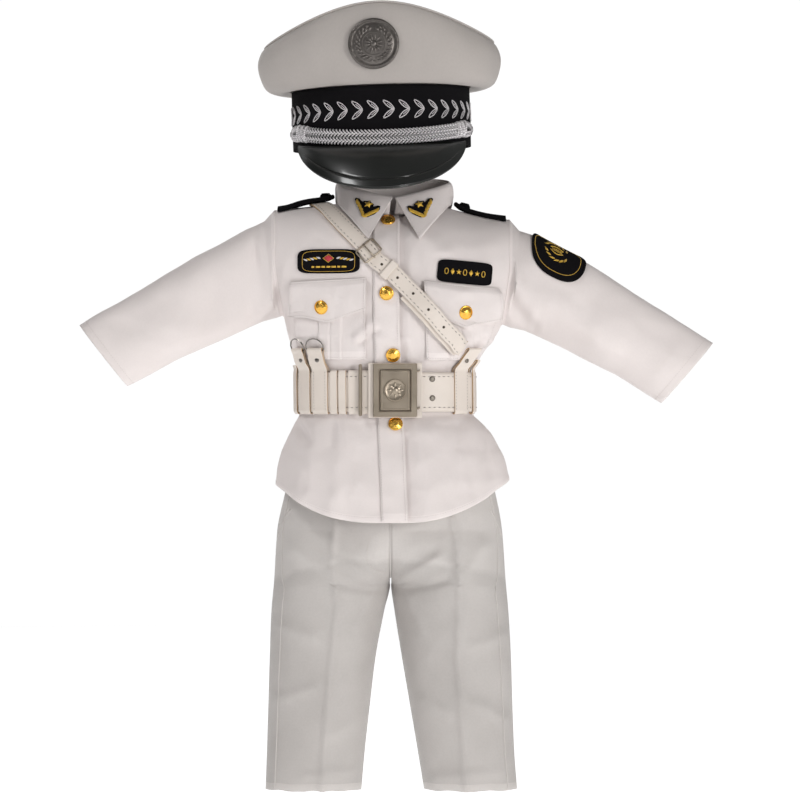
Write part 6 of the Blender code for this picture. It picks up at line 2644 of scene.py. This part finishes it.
def declareSheets():
    for name, (wide, long, area) in sheetCuts.items():
        extra = {"area": area} if area else {}
        if name in laidOn:
            extra["rests_on"] = [laidOn[name]]


# Ground, lights and camera

def makeStage():
    # A round floor that glows a little, so that it stays pale from every side
    bm = bmesh.new()
    bmesh.ops.create_circle(bm, cap_ends=True, segments=96, radius=4.6)
    bmesh.ops.translate(bm, verts=bm.verts, vec=(0, 0, -0.66))
    mesh = bpy.data.meshes.new("floorDisc")
    bm.to_mesh(mesh)
    bm.free()
    floor = bpy.data.objects.new("floorDisc", mesh)
    scene.collection.objects.link(floor)
    made, shader = newMaterial("paleFloor", (0.86, 0.86, 0.86), 0.9)
    shader.inputs["Specular IOR Level"].default_value = 0.1
    shader.inputs["Emission Color"].default_value = (1, 1, 1, 1)
    shader.inputs["Emission Strength"].default_value = 0.8
    mesh.materials.append(made)


def areaLight(name, place, target, size, strength, colour=(1, 1, 1)):
    data = bpy.data.lights.new(name, "AREA")
    data.shape = "RECTANGLE"
    data.size, data.size_y = size
    data.energy = strength
    data.color = colour
    lamp = bpy.data.objects.new(name, data)
    scene.collection.objects.link(lamp)
    lamp.location = place
    aim = Vector(target) - Vector(place)
    lamp.rotation_euler = aim.to_track_quat("-Z", "Y").to_euler()


def makeLights():
    # The world is white where it is seen, and lights the set softly from the front, right and above
    world = bpy.data.worlds.new("softWorld")
    scene.world = world
    world.use_nodes = True
    tree = world.node_tree
    back = tree.nodes["Background"]
    back.inputs["Color"].default_value = (1, 1, 1, 1)
    coords = tree.nodes.new("ShaderNodeTexCoord")
    x, y, z = split(Value(tree, coords.outputs["Generated"]))
    glow = (z * 0.25 + x * 0.32 - y * 0.32 + 0.5).maths("MAXIMUM", 0.12) * 0.27
    seen = Value(tree, tree.nodes.new("ShaderNodeLightPath").outputs["Is Camera Ray"])
    tree.links.new((glow * (1 - seen) + seen * 1.02).socket, back.inputs["Strength"])
    areaLight("keyLight", (2.4, -3.05, 0.25), (0, 0, -0.2), (1.0, 1.0), 58, (1.0, 0.99, 0.975))
    areaLight("fillLight", (-2.6, -2.4, 0.9), (0, 0, -0.2), (1.4, 1.4), 5, (1.0, 0.98, 0.96))
    areaLight("visorLight", (-1.5, -0.9, 1.9), (-0.05, -0.12, 0.05), (0.9, 0.5), 20)
    areaLight("backLight", (-1.6, 3.4, 1.3), (0, 0, -0.2), (1.4, 1.4), 26)


def makeCamera():
    data = bpy.data.cameras.new("camera")
    eye = bpy.data.objects.new("camera", data)
    scene.collection.objects.link(eye)
    far = 5.0
    data.sensor_width = 36
    data.lens = 36 * (far - 0.06) / 0.84
    data.clip_end = 50
    eye.location = (0.0105, -far, -0.2026)
    eye.rotation_euler = (math.pi / 2, 0, 0)
    scene.camera = eye
    scene.view_settings.view_transform = "Standard"


# Everything, in order

makeCamera()
makeLights()
makeStage()
print("stage done")
makeBody()
for sleeveName in sleeves:
    makeSleeve(sleeveName)
print("body done")
makeCollar()
makeStand()
makePlacket()
for pocketName in pockets:
    makePocket(pocketName)
for flapName in flaps:
    makeFlap(flapName)
for epauletteName in straps["ridges"]:
    makeEpaulette(epauletteName)
print("sewn pieces done")
makePatches()
makeSleevePatch()
makeTabs()
print("patches done")
makeTrousers()
print("trousers done")
makeBelt()
makeLoops()
makeStuds()
makeBuckle()
makeStraps()
makeRings()
print("belt done")
makeCrown()
makePiping()
makeBand()
makeVisor()
makeCord()
makeLeafChain()
makeBadge()
print("cap done")
makeButtons()
makeStitches()
makeSeams()
makeSeamRolls()
declareSheets()
print("buttons and stitches done")
